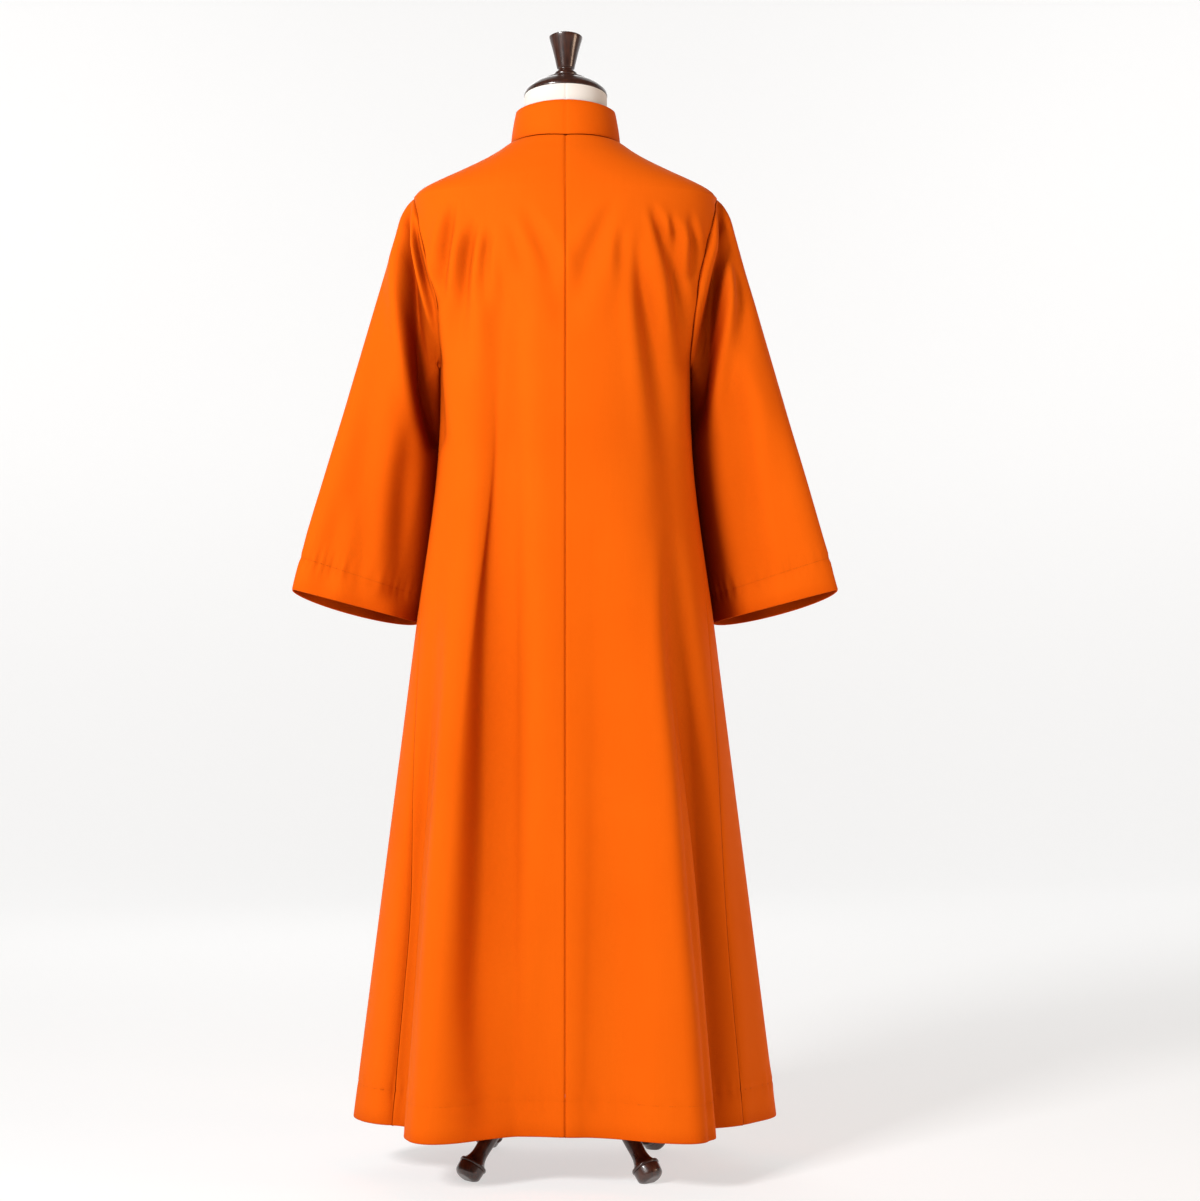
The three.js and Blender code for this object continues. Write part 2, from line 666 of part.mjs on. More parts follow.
function torsoPoint(section, turn) {
  const plan = roundedPlan(section, turn, TORSO_ROUND);
  return new THREE.Vector3(plan.x, plan.y, section.z);
}

// The neck's sections lean more and more up to its tilted top.
function neckPoint(section, turn) {
  const topZ = NECK_SECTIONS.at(-1).z;
  const share = clamp((section.z - NECK_TILT_FROM_Z) / (topZ - NECK_TILT_FROM_Z), 0, 1);
  const y = section.radius * Math.cos(turn);
  const z = section.z + y * Math.tan(NECK_TILT) * share;
  return new THREE.Vector3(section.radius * Math.sin(turn), y, z);
}

function makeTorso() {
  const turns = Array.from({ length: TORSO_SIDES }, (_, k) => (2 * Math.PI * k) / TORSO_SIDES);
  const body = torsoSections().map((section) => turns.map((turn) => torsoPoint(section, turn)));
  const neck = NECK_SECTIONS.map((section) => turns.map((turn) => neckPoint(section, turn)));
  return fromManifold(toManifold(stackGeometry(body)).add(toManifold(stackGeometry(neck))));
}

// A turned piece along +Z from its profile.
function turned(profile, sides) {
  const points = profile.map(([radius, height]) => new THREE.Vector2(radius, height));
  return new THREE.LatheGeometry(points, sides).rotateX(QUARTER);
}

// A leg leans from its foot to the hub. Its tip is cut flat by the floor and its top by the hub.
function makeLeg(index) {
  const lean = Math.atan2(FOOT_RADIUS - LEG_TOP_RADIUS, LEG_TOP_Z);
  const leg = turned(LEG_PROFILE, LEG_SIDES);
  leg.rotateX(lean);
  leg.translate(0, FOOT_RADIUS, LEG_TIP_RADIUS * Math.sin(lean) - FOOT_SINK);
  leg.rotateZ(index * QUARTER - QUARTER / 2 - STAND_TURN);
  const hub = turned(HUB_PROFILE.map(([radius, height]) => [
    radius === 0 ? 0 : radius + SEAM_GAP,
    height,
  ]), TURNED_SIDES);
  const floorDepth = 60;
  const floor = new THREE.BoxGeometry(FOOT_RADIUS * 3, FOOT_RADIUS * 3, floorDepth);
  floor.translate(0, 0, -floorDepth / 2);
  return fromManifold(toManifold(leg).subtract(toManifold(hub)).subtract(toManifold(floor)));
}

function makePole() {
  const low = HUB_PROFILE.at(-1)[1] + SEAM_GAP;
  const high = TORSO_SECTIONS[0].z - SEAM_GAP;
  return turned([[0, low], [POLE_RADIUS, low], [POLE_RADIUS, high], [0, high]], TURNED_SIDES);
}

// ---------------------------------------------------------------- assembly

function named(name, geometry, material) {
  const mesh = new THREE.Mesh(geometry, material);
  mesh.name = name;
  return mesh;
}

function makeCassock() {
  const cassock = new THREE.Group();
  for (const [side, mirror] of [['left', 1], ['right', -1]]) {
    const armhole = makeArmhole(mirror);
    cassock.add(named(`back_${side}`, makePanel(true, mirror, armhole, false), ORANGE_TWILL));
    cassock.add(named(`front_${side}`, makePanel(false, mirror, armhole, mirror > 0), ORANGE_TWILL));
    cassock.add(named(`sleeve_${side}`, makeSleeve(armhole), ORANGE_TWILL));
  }
  const neckBearings = [...neckBearingsOf(true), ...neckBearingsOf(false).slice(1, -1).reverse()];
  cassock.add(named('collar', makeCollar(neckBearings), ORANGE_TWILL));
  return cassock;
}

function makeForm() {
  const form = new THREE.Group();
  form.add(named('form_torso', makeTorso(), CREAM_COVER));
  const head = new THREE.Group();
  head.position.z = NECK_SECTIONS.at(-1).z + SEAM_GAP;
  head.rotation.x = NECK_TILT;
  head.add(named('neck_cap', turned(CAP_PROFILE, TURNED_SIDES), DARK_WOOD));
  const finial = named('finial', turned(FINIAL_PROFILE, TURNED_SIDES), DARK_WOOD);
  finial.position.z = CAP_HEIGHT + SEAM_GAP;
  head.add(finial);
  form.add(head);
  form.add(named('pole', makePole(), DARK_WOOD));
  form.add(named('hub', turned(HUB_PROFILE, TURNED_SIDES), DARK_WOOD));
  for (let index = 0; index < LEG_COUNT; index += 1) {
    form.add(named(`leg_${index + 1}`, makeLeg(index), DARK_WOOD));
  }
  return form;
}

const part = new THREE.Group();
part.add(makeForm());
part.add(makeCassock());

export default part;
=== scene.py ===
"""Choir cassock on a limbless dress form, dressed for close views.

Metres, +Z up, the floor at z = 0. The front faces -Y and the wearer's left is +X. A bearing is the
angle round the body: 0 at centre back, a quarter turn at the wearer's left side, half a turn at
centre front.
"""

import sys
import logging
import math
from collections.abc import Sequence
from dataclasses import dataclass, field
from enum import Enum

import bmesh
import bpy
import numpy as np
from mathutils import Matrix, Vector


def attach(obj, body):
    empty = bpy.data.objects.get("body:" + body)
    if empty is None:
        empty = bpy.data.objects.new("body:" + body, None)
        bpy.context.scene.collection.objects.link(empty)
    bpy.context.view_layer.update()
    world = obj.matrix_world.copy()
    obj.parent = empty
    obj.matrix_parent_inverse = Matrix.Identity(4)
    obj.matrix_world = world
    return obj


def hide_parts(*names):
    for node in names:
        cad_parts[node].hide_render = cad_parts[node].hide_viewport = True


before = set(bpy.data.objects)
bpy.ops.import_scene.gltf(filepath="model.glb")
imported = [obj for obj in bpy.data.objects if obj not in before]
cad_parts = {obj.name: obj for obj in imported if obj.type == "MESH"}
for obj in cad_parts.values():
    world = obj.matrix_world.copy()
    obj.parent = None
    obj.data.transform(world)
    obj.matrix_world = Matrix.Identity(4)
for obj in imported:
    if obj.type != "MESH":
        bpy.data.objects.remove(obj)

log = logging.getLogger("cassock")
Array = np.ndarray
Socket = bpy.types.NodeSocket
Pair = tuple[float, float]
Triple = tuple[float, float, float]
Colour = tuple[float, float, float]
CreaseRow = tuple[float, float, float, float]

QUARTER = math.pi / 2
UNIT_BAND = math.pi / 10  # pitch of a band pattern whose scale is 1
SAME_SPOT = 1e-6

# Heights and the neck seam
HEM_Z = 0.070
UNDERARM_Z = 1.147
SHOULDER_TIP_Z = 1.397
TOP_SECTION_Z = 1.485
NECK_HALF = 0.080
NECK_DEPTH = 0.076

# Armhole: the middle of its height, and from there up or down to its ends
ARMHOLE_MIDDLE_Z = (SHOULDER_TIP_Z + UNDERARM_Z) / 2
ARMHOLE_RISE = (SHOULDER_TIP_Z - UNDERARM_Z) / 2
ARMHOLE_HALF_WIDTH = 0.061

# Cloth and sewing
CLOTH = 0.0010
SEAM_ALLOWANCE = 0.009
HEM_DEPTH = 0.049
CUFF_HEM_DEPTH = 0.044
FOLDED_GAP = 0.0023
SEAM_DIP_WIDTH = 0.003
LAP_REACH = 0.020
LAP_LIFT = 0.0016

# Creases: the usual height of the swell beside a trough as a share of its depth, the range of the
# Y of a normal over which they fade in, and in steps of the path how far they run on past its ends
PLAIN_LIP = 0.35
CREASE_FACING = (0.10, 0.50)
CREASE_RUN_OUT = 1.5
# In widths of the trough: how far a crease reaches, and the place and the width of the swell
CREASE_REACH = 3.5
SWELL_PLACE = 1.9
SWELL_WIDTH = 0.9


class Side(Enum):
    """The wearer's side, as the sign of X."""

    LEFT = 1
    RIGHT = -1

    def flip(self) -> Array:
        """Factors that carry a point of the left side to this one."""
        return np.array([self.value, 1.0, 1.0])


class Facing(Enum):
    """Which way a piece or a crease faces, as the sign of Y."""

    BACK = 1
    FRONT = -1


# ------------------------------------------------------------------ numbers


def smooth_rise(value: Array, low: float, high: float) -> Array:
    """Smooth step from 0 at low to 1 at high.

    Args:
        value: Places to read.
        low: Where the rise starts.
        high: Where it ends.

    Returns:
        The share of the rise at each place.
    """
    t = np.clip((value - low) / (high - low), 0.0, 1.0)
    return t * t * (3 - 2 * t)


def bump_at(value: Array, width: float | Array) -> Array:
    """Bell curve of a given half-width round 0."""
    return np.exp(-((value / width) ** 2))


def smooth_table(keys: Array, values: Array, place: Array) -> Array:
    """Smooth value of one column of a table, which never overshoots its rows.

    Args:
        keys: Rising keys of the rows.
        values: The column's value in each row.
        place: Keys to read at.

    Returns:
        The column's value at each place.
    """
    rise = np.diff(values) / np.diff(keys)
    before, after = rise[:-1], rise[1:]
    total = np.where(before + after == 0, 1.0, before + after)
    inner = np.where(before * after <= 0, 0.0, 2 * before * after / total)
    slope = np.concatenate(([rise[0]], inner, [rise[-1]]))
    row = np.clip(np.searchsorted(keys, place, side="left") - 1, 0, len(keys) - 2)
    span = keys[row + 1] - keys[row]
    t = np.clip((place - keys[row]) / span, 0.0, 1.0)
    bend = ((1 - t) * slope[row] - t * slope[row + 1]) * span
    eased = t * t * (3 - 2 * t)
    return values[row] + (values[row + 1] - values[row]) * eased + t * (1 - t) * bend


def column_of(rows: Sequence[object], name: str) -> Array:
    """One column of a table, from the field of that name in each row."""
    return np.array([getattr(row, name) for row in rows])


def unit(vectors: Array) -> Array:
    """Vectors of length 1, from rows of any length."""
    return vectors / np.linalg.norm(vectors, axis=-1, keepdims=True)


def neck_plan(bearing: Array) -> tuple[Array, Array]:
    """Plan of the neck seam: its x and y at each bearing."""
    return NECK_HALF * np.sin(bearing), NECK_DEPTH * np.cos(bearing)


def armhole_height(turn: Array) -> Array:
    """Height of the armhole seam at a turn from its top."""
    return ARMHOLE_MIDDLE_Z + ARMHOLE_RISE * np.cos(turn)


# ------------------------------------------------------------------ body surface


@dataclass(frozen=True)
class Section:
    """Level section of the body without its folds."""

    z: float
    half: float
    back: float
    front: float
    round: float = 2.2


@dataclass(frozen=True)
class Fold:
    """Long fold of the skirt: its feet and crest as bearings in degrees at the hem."""

    side: Side
    low: float
    crest: float
    high: float
    turn: float
    begins: float
    height: float
    growth: float


SECTIONS = (
    Section(0.070, 0.3046, 0.174, 0.176, 1.8),
    Section(0.400, 0.263, 0.164, 0.165, 1.9),
    Section(0.762, 0.2174, 0.152, 0.153, 2.05),
    Section(1.040, 0.1835, 0.1425, 0.143, 2.15),
    Section(1.103, 0.1815, 0.1405, 0.1405),
    Section(1.147, 0.1815, 0.1385, 0.139),
    Section(1.200, 0.1907, 0.136, 0.1375),
    Section(1.255, 0.2045, 0.133, 0.134),
    Section(1.290, 0.2125, 0.131, 0.131),
    Section(1.326, 0.220, 0.128, 0.126),
    Section(1.350, 0.223, 0.1245, 0.121),
    Section(1.397, 0.221, 0.1135, 0.102),
    Section(1.407, 0.211, 0.1105, 0.095),
    Section(1.416, 0.1946, 0.1075, 0.0885),
    Section(1.433, 0.157, 0.1005, 0.075),
    Section(1.4515, 0.1187, 0.0915, 0.054),
    Section(1.462, 0.101, 0.085, 0.041),
    Section(1.476, 0.080, 0.0764, 0.022),
    Section(1.485, 0.055, 0.068, 0.004),
)

FOLDS = (
    Fold(Side.LEFT, 12, 26, 52, 11, 1.190, 0.091, 1.35),
    Fold(Side.LEFT, 44, 56, 74, 6, 0.900, -0.012, 1.2),
    Fold(Side.RIGHT, 4, 26, 46, 8, 1.060, 0.086, 1.3),
    Fold(Side.RIGHT, 46, 64, 86, 4, 0.900, -0.007, 1.2),
    Fold(Side.LEFT, 126, 154, 172, -6, 1.100, 0.090, 1.3),
    Fold(Side.LEFT, 96, 116, 130, -4, 0.820, -0.016, 1.2),
    Fold(Side.RIGHT, 128, 152, 174, -8, 1.010, 0.086, 1.35),
    Fold(Side.RIGHT, 94, 112, 130, -5, 0.760, -0.020, 1.2),
)

SIDE_SEAM_Z = np.array([0.070, 0.306, 0.700, 1.000, 1.147])
SIDE_SEAM_DEGREES = np.array([60.0, 60.0, 68.0, 82.0, 90.0])


@dataclass(frozen=True)
class BodySurface:
    """Outer surface of the worn cassock's body, by bearing and height."""

    sections: tuple[Section, ...] = SECTIONS
    folds: tuple[Fold, ...] = FOLDS
    turn_step: float = 0.006
    rise_step: float = 0.0006
    slack: float = 0.001
    halvings: int = 20

    def read(self, column: str, z: Array) -> Array:
        """One column of the sections at each height."""
        return smooth_table(column_of(self.sections, "z"), column_of(self.sections, column), z)

    def depth_towards(self, y: Array, z: Array) -> Array:
        """Depth of the section on the side that y is on."""
        return np.where(y >= 0, self.read("back", z), self.read("front", z))

    def fold_out(self, bearing: Array, z: Array) -> Array:
        """How far the long folds push the cloth out.

        Args:
            bearing: Angle round the body.
            z: Height.

        Returns:
            The push, away from the axis.
        """
        degrees = np.degrees(np.arctan2(np.sin(bearing), np.cos(bearing)))
        out = np.zeros_like(degrees)
        for fold in self.folds:
            up = np.clip((z - HEM_Z) / (fold.begins - HEM_Z), 0.0, 1.0)
            here = degrees * fold.side.value - fold.turn * up
            rising = smooth_rise(here, fold.low, fold.crest)
            falling = 1 - smooth_rise(here, fold.crest, fold.high)
            shape = np.where(here < fold.crest, rising, falling)
            out += fold.height * shape * (1 - up) ** fold.growth
        return out

    def point(self, bearing: Array, z: Array) -> Array:
        """Point of the surface.

        Args:
            bearing: Angle round the body.
            z: Height.

        Returns:
            One point for each bearing and height.
        """
        power = self.read("round", z)
        across, along = np.sin(bearing), np.cos(bearing)
        scale = (np.abs(across) ** power + np.abs(along) ** power) ** (-1 / power)
        x = self.read("half", z) * across * scale
        y = self.depth_towards(along, z) * along * scale
        grown = 1 + self.fold_out(bearing, z) / np.hypot(x, y)
        return np.stack([x * grown, y * grown, z + 0 * x], axis=-1)

    def normal(self, bearing: Array, z: Array) -> Array:
        """Outward normal of the surface.

        Args:
            bearing: Angle round the body.
            z: Height.

        Returns:
            One normal for each bearing and height.
        """
        turn, rise = self.turn_step, self.rise_step
        along = self.point(bearing + turn, z) - self.point(bearing - turn, z)
        up = self.point(bearing, z + rise) - self.point(bearing, z - rise)
        return unit(np.cross(up, along))

    def shoulder_height(self, x: Array, y: Array) -> Array:
        """Height of the shoulders over each point of the plan, found by halving.

        Args:
            x: Sideways place.
            y: Place to the back.

        Returns:
            The height.
        """
        low = np.full_like(x, SHOULDER_TIP_Z - self.slack)
        high = np.full_like(x, TOP_SECTION_Z)
        for _ in range(self.halvings):
            middle = (low + high) / 2
            power = self.read("round", middle)
            reach = (np.abs(x) / self.read("half", middle)) ** power
            reach = reach + (np.abs(y) / self.depth_towards(y, middle)) ** power
            low = np.where(reach < 1, middle, low)
            high = np.where(reach < 1, high, middle)
        return (low + high) / 2

    def bearing_of(self, x: Array, y: Array, z: Array) -> Array:
        """Bearing of a plan point at a height."""
        return np.arctan2(x / self.read("half", z), y / self.depth_towards(y, z))

    def shoulder_place(self, neck: Array, tip: Array, t: Array) -> tuple[Array, Array]:
        """Place on the shoulders between the neck seam and the level of the shoulder tip.

        Args:
            neck: Bearing on the neck seam.
            tip: Bearing at the level of the shoulder tip.
            t: Share of the way from the first to the second.

        Returns:
            Bearing and height.
        """
        start_x, start_y = neck_plan(neck)
        end = self.point(tip, np.full_like(tip, SHOULDER_TIP_Z))
        x = start_x + (end[..., 0] - start_x) * t
        y = start_y + (end[..., 1] - start_y) * t
        z = self.shoulder_height(x, y)
        return self.bearing_of(x, y, z), z

    def armhole_bearing(self, z: Array, facing: Array) -> Array:
        """Bearing of the armhole seam at a height.

        Args:
            z: Height.
            facing: 1 behind the shoulder seam and -1 before it.

        Returns:
            Bearing on the wearer's left.
        """
        up = (z - ARMHOLE_MIDDLE_Z) / ARMHOLE_RISE
        across = ARMHOLE_HALF_WIDTH * np.sqrt(np.clip(1 - up**2, 0, 1))
        power = self.read("round", z)
        share = across / self.depth_towards(facing, z)
        x = (1 - share**power) ** (1 / power)
        bearing = np.arctan2(x, share)
        return np.where(facing > 0, bearing, math.pi - bearing)


BODY = BodySurface()


# ------------------------------------------------------------------ creases


@dataclass(frozen=True)
class Crease:
    """Soft trough, or ridge where the depth is negative, along a path seen from behind or before.

    The path's rows are x, z, half-width and depth, in metres. lip is the height of the swell beside
    a trough, as a share of its depth.
    """

    facing: Facing
    path: tuple[CreaseRow, ...]
    lip: float

    def mirrored(self, nudge: float) -> "Crease":
        """The same kind of crease on the other face, moved and weakened a little.

        Args:
            nudge: Share by which it is moved outwards.

        Returns:
            The new crease.
        """
        lowered, weaker = 0.2, 0.8
        rows = tuple((x * (1 + nudge), z - nudge * lowered, w, d * weaker) for x, z, w, d in self.path)
        return Crease(Facing(-self.facing.value), rows, self.lip)

    def rows(self) -> Array:
        """The path with more rows, on a smooth curve.

        Returns:
            Rows of x, z, half-width and depth.
        """
        given, parts = np.array(self.path), 4
        last = len(given) - 1
        keys, fine = np.arange(last + 1, dtype=float), np.linspace(0, last, parts * last + 1)
        return np.stack([smooth_table(keys, column, fine) for column in given.T], axis=-1)

    def offset(self, points: Array, normals: Array) -> Array:
        """How far the crease moves each point along its normal.

        Args:
            points: Points of the cloth.
            normals: Their normals.

        Returns:
            The offsets.
        """
        rows = self.rows()
        reach = CREASE_REACH * rows[:, 2].max()
        x, z = points[:, 0], points[:, 2]
        facing = smooth_rise(normals[:, 1] * self.facing.value, *CREASE_FACING)
        near = (x > rows[:, 0].min() - reach) & (x < rows[:, 0].max() + reach)
        near &= (z > rows[:, 1].min() - reach) & (z < rows[:, 1].max() + reach) & (facing > 0)
        out = np.zeros(len(points))
        if not near.any():
            return out
        spot = np.stack([x[near], z[near]], axis=-1)
        best = np.full(len(spot), np.inf)
        width = np.zeros(len(spot))
        depth = np.zeros(len(spot))
        last = len(rows) - 2
        for i, (row, after) in enumerate(zip(rows, rows[1:])):
            start, step = row[:2], after[:2] - row[:2]
            t = ((spot - start) @ step) / (step @ step)
            low = -CREASE_RUN_OUT if i == 0 else 0.0
            high = 1.0 + CREASE_RUN_OUT if i == last else 1.0
            held = np.clip(t, low, high)
            gap = np.linalg.norm(spot - start - held[:, None] * step, axis=-1)
            closer = gap < best
            share = np.clip(t, 0, 1)
            left = np.clip(1 - np.abs(held - share) / CREASE_RUN_OUT, 0, 1)
            best = np.where(closer, gap, best)
            width = np.where(closer, row[2] + share * (after[2] - row[2]), width)
            depth = np.where(closer, (row[3] + share * (after[3] - row[3])) * left**2, depth)
        trough = bump_at(best, width)
        swell = self.lip * bump_at(best - SWELL_PLACE * width, SWELL_WIDTH * width)
        out[near] = -depth * (trough - swell) * facing[near]
        return out


def behind(*path: CreaseRow, lip: float = PLAIN_LIP) -> Crease:
    """Crease of the back, from its path and its lip."""
    return Crease(Facing.BACK, path, lip)


BACK_CREASES = (
    # Back, left of the middle: from the armhole inwards
    behind(
        (0.16, 1.372, 0.006, 0.002), (0.168, 1.335, 0.008, 0.009), (0.1735, 1.3, 0.009, 0.01),
        (0.176, 1.255, 0.009, 0.005), (0.176, 1.225, 0.01, 0.001),
    ),
    behind(
        (0.128, 1.345, 0.006, 0.002), (0.139, 1.305, 0.009, 0.009), (0.145, 1.262, 0.011, 0.01),
        (0.148, 1.2, 0.013, 0.006), (0.15, 1.13, 0.014, 0.001),
    ),
    behind(
        (0.106, 1.33, 0.006, 0.001), (0.112, 1.305, 0.007, 0.005), (0.116, 1.27, 0.008, 0.005),
        (0.118, 1.225, 0.009, 0.001),
    ),
    behind(
        (0.078, 1.335, 0.008, 0.001), (0.062, 1.29, 0.011, 0.0035), (0.046, 1.235, 0.014, 0.001),
    ),
    behind(
        (0.056, 1.358, 0.009, 0.001), (0.033, 1.305, 0.013, 0.005), (0.014, 1.245, 0.016, 0.0045),
        (0.004, 1.19, 0.016, 0.001),
    ),
    # Back, right of the middle: outwards to the armhole
    behind(
        (-0.066, 1.366, 0.009, 0.001), (-0.042, 1.312, 0.013, 0.005), (-0.02, 1.25, 0.016, 0.005),
        (-0.006, 1.19, 0.018, 0.001),
    ),
    behind(
        (-0.078, 1.33, 0.008, 0.001), (-0.082, 1.29, 0.01, 0.004), (-0.086, 1.24, 0.011, 0.001),
    ),
    behind(
        (-0.1, 1.312, 0.008, 0.002), (-0.108, 1.262, 0.011, 0.008), (-0.12, 1.19, 0.014, 0.011),
        (-0.134, 1.1, 0.016, 0.009), (-0.146, 1, 0.018, 0.004), (-0.15, 0.9, 0.02, 0.001),
    ),
    behind(
        (-0.124, 1.362, 0.006, 0.002), (-0.138, 1.325, 0.008, 0.009), (-0.15, 1.29, 0.009, 0.011),
        (-0.16, 1.25, 0.01, 0.009), (-0.166, 1.19, 0.012, 0.003), (-0.168, 1.14, 0.012, 0.001),
    ),
    behind(
        (-0.15, 1.352, 0.005, 0.002), (-0.156, 1.328, 0.007, 0.008), (-0.162, 1.3, 0.008, 0.007),
        (-0.17, 1.262, 0.008, 0.002),
    ),
    behind(
        (-0.178, 1.358, 0.005, 0.001), (-0.183, 1.325, 0.006, 0.006), (-0.182, 1.29, 0.007, 0.006),
        (-0.178, 1.262, 0.007, 0.001),
    ),
    # Skirt
    behind(
        (0.08, 1.285, 0.018, 0.001), (0.093, 1.2, 0.026, 0.013), (0.102, 1.06, 0.032, 0.025),
        (0.104, 0.9, 0.036, 0.031), (0.103, 0.76, 0.037, 0.033), (0.103, 0.59, 0.036, 0.032),
        (0.106, 0.412, 0.034, 0.028), (0.11, 0.264, 0.032, 0.021), (0.105, 0.09, 0.028, 0.01),
        lip=0.2,
    ),
    behind(
        (-0.15, 0.9, 0.012, 0.001), (-0.154, 0.8, 0.015, 0.008), (-0.162, 0.7, 0.017, 0.012),
        (-0.178, 0.559, 0.018, 0.013), (-0.19, 0.386, 0.019, 0.013), (-0.204, 0.239, 0.02, 0.012),
        (-0.212, 0.075, 0.02, 0.01),
    ),
    behind(
        (0.172, 0.8, 0.01, 0.001), (0.184, 0.66, 0.012, 0.006), (0.196, 0.52, 0.013, 0.008),
        (0.21, 0.38, 0.014, 0.008), (0.22, 0.24, 0.015, 0.007), (0.232, 0.075, 0.016, 0.006),
    ),
    behind(
        (-0.06, 0.7, 0.026, 0.001), (-0.066, 0.5, 0.03, 0.004), (-0.074, 0.3, 0.034, 0.006),
        (-0.08, 0.075, 0.036, 0.006),
    ),
    behind(
        (0.03, 0.62, 0.024, 0.001), (0.032, 0.44, 0.028, 0.003), (0.036, 0.26, 0.03, 0.005),
        (0.04, 0.075, 0.032, 0.005),
    ),
    # Left sleeve
    behind(
        (0.228, 1.388, 0.005, 0.003), (0.2335, 1.36, 0.007, 0.014), (0.2345, 1.325, 0.009, 0.021),
        (0.230, 1.285, 0.011, 0.026), (0.221, 1.235, 0.013, 0.029), (0.209, 1.18, 0.015, 0.030),
        (0.196, 1.11, 0.016, 0.026), (0.184, 1.04, 0.015, 0.010),
        lip=0.16,
    ),
    behind(
        (0.218, 1.356, 0.004, 0.003), (0.214, 1.322, 0.005, 0.011), (0.206, 1.285, 0.006, 0.014),
        (0.197, 1.25, 0.008, 0.014), (0.189, 1.21, 0.009, 0.012), (0.182, 1.15, 0.009, 0.006),
        lip=0.3,
    ),
    behind(
        (0.262, 1.3, 0.012, 0.001), (0.268, 1.24, 0.015, 0.004), (0.276, 1.16, 0.02, 0.006),
        (0.286, 1.08, 0.026, 0.008), (0.293, 0.99, 0.03, 0.009), (0.308, 0.85, 0.034, 0.007),
    ),
    behind(
        (0.226, 1.06, 0.012, 0.001), (0.232, 0.99, 0.016, 0.006), (0.236, 0.91, 0.018, 0.008),
        (0.242, 0.82, 0.02, 0.007),
    ),
    behind(
        (0.33, 0.96, 0.014, 0.001), (0.338, 0.9, 0.016, 0.004), (0.35, 0.83, 0.018, 0.004),
    ),
    # Right sleeve
    behind(
        (-0.222, 1.39, 0.005, 0.003), (-0.23, 1.362, 0.007, 0.014), (-0.2325, 1.325, 0.009, 0.021),
        (-0.226, 1.285, 0.011, 0.025), (-0.216, 1.235, 0.012, 0.026), (-0.205, 1.18, 0.013, 0.022),
        (-0.195, 1.11, 0.013, 0.012), (-0.188, 1.06, 0.013, 0.002),
        lip=0.16,
    ),
    behind(
        (-0.24, 1.352, 0.005, 0.001), (-0.246, 1.318, 0.008, 0.008), (-0.252, 1.28, 0.01, 0.01),
        (-0.256, 1.225, 0.012, 0.005), (-0.258, 1.16, 0.014, 0.001),
    ),
    behind(
        (-0.236, 1.17, 0.014, 0.001), (-0.244, 1.11, 0.018, 0.006), (-0.254, 1.05, 0.024, 0.009),
        (-0.268, 0.96, 0.028, 0.01), (-0.284, 0.85, 0.032, 0.007),
    ),
    behind(
        (-0.3, 1.08, 0.014, 0.001), (-0.312, 0.98, 0.02, 0.005), (-0.33, 0.85, 0.024, 0.005),
    ),
)

FRONT_NUDGES = (
    0.04, -0.05, 0.07, 0.02, -0.06, 0.05, -0.03, 0.06, -0.04, 0.01, 0.03, -0.06, 0.05,
    0.04, -0.05, 0.06, -0.01, 0.02, 0.03, -0.04, 0.02, -0.02, 0.01, 0.05, -0.03,
)
FRONT_CREASES = tuple(crease.mirrored(nudge) for crease, nudge in zip(BACK_CREASES, FRONT_NUDGES))
CREASES = BACK_CREASES + FRONT_CREASES


def crease_offsets(points: Array, normals: Array) -> Array:
    """How far all the creases together move each point along its normal."""
    return sum((crease.offset(points, normals) for crease in CREASES), np.zeros(len(points)))


@dataclass(frozen=True)
class Puckers:
    """Small drawn-up ripples on both sides of a row of stitches.

    row is the distance of the stitches from the edge that they follow. Each wave is its rate in
    radians a metre, how far it wanders and the rate of the wandering.
    """

    row: float
    depth: float
    ripple: Triple = (410.0, 2.1, 57.0)
    second: Triple = (236.0, 1.4, 23.0)
    uneven: Triple = (31.0, 1.7, 13.0)
    ripple_phase: float = 0.6
    share: float = 0.6
    above: float = 0.017
    below: float = 0.012
    groove: float = 0.7
    groove_width: float = 0.0022

    @staticmethod
    def wave(along: Array, kind: Triple, phase: float = 0.0) -> Array:
        """Wandering wave.

        Args:
            along: Distance along the row.
            kind: Its rate, how far it wanders and the rate of the wandering.
            phase: Phase of the wandering.

        Returns:
            Its height, from -1 to 1.
        """
        rate, wander, slow = kind
        return np.sin(along * rate + wander * np.sin(along * slow + phase))

    def offset(self, along: Array, above: Array) -> Array:
        """How far the ripples move the cloth.

        Args:
            along: Distance along the row.
            above: Distance of each point from the edge.

        Returns:
            Offset along the normal.
        """
        uneven = self.share + (1 - self.share) * self.wave(along, self.uneven)
        ripple = self.share * self.wave(along, self.ripple, self.ripple_phase)
        ripple = ripple + (1 - self.share) * self.wave(along, self.second)
        fade = bump_at(above - self.row, np.where(above > self.row, self.above, self.below))
        groove = self.groove * bump_at(above - self.row, self.groove_width)
        return self.depth * (uneven * ripple * fade - groove)


# ------------------------------------------------------------------ materials


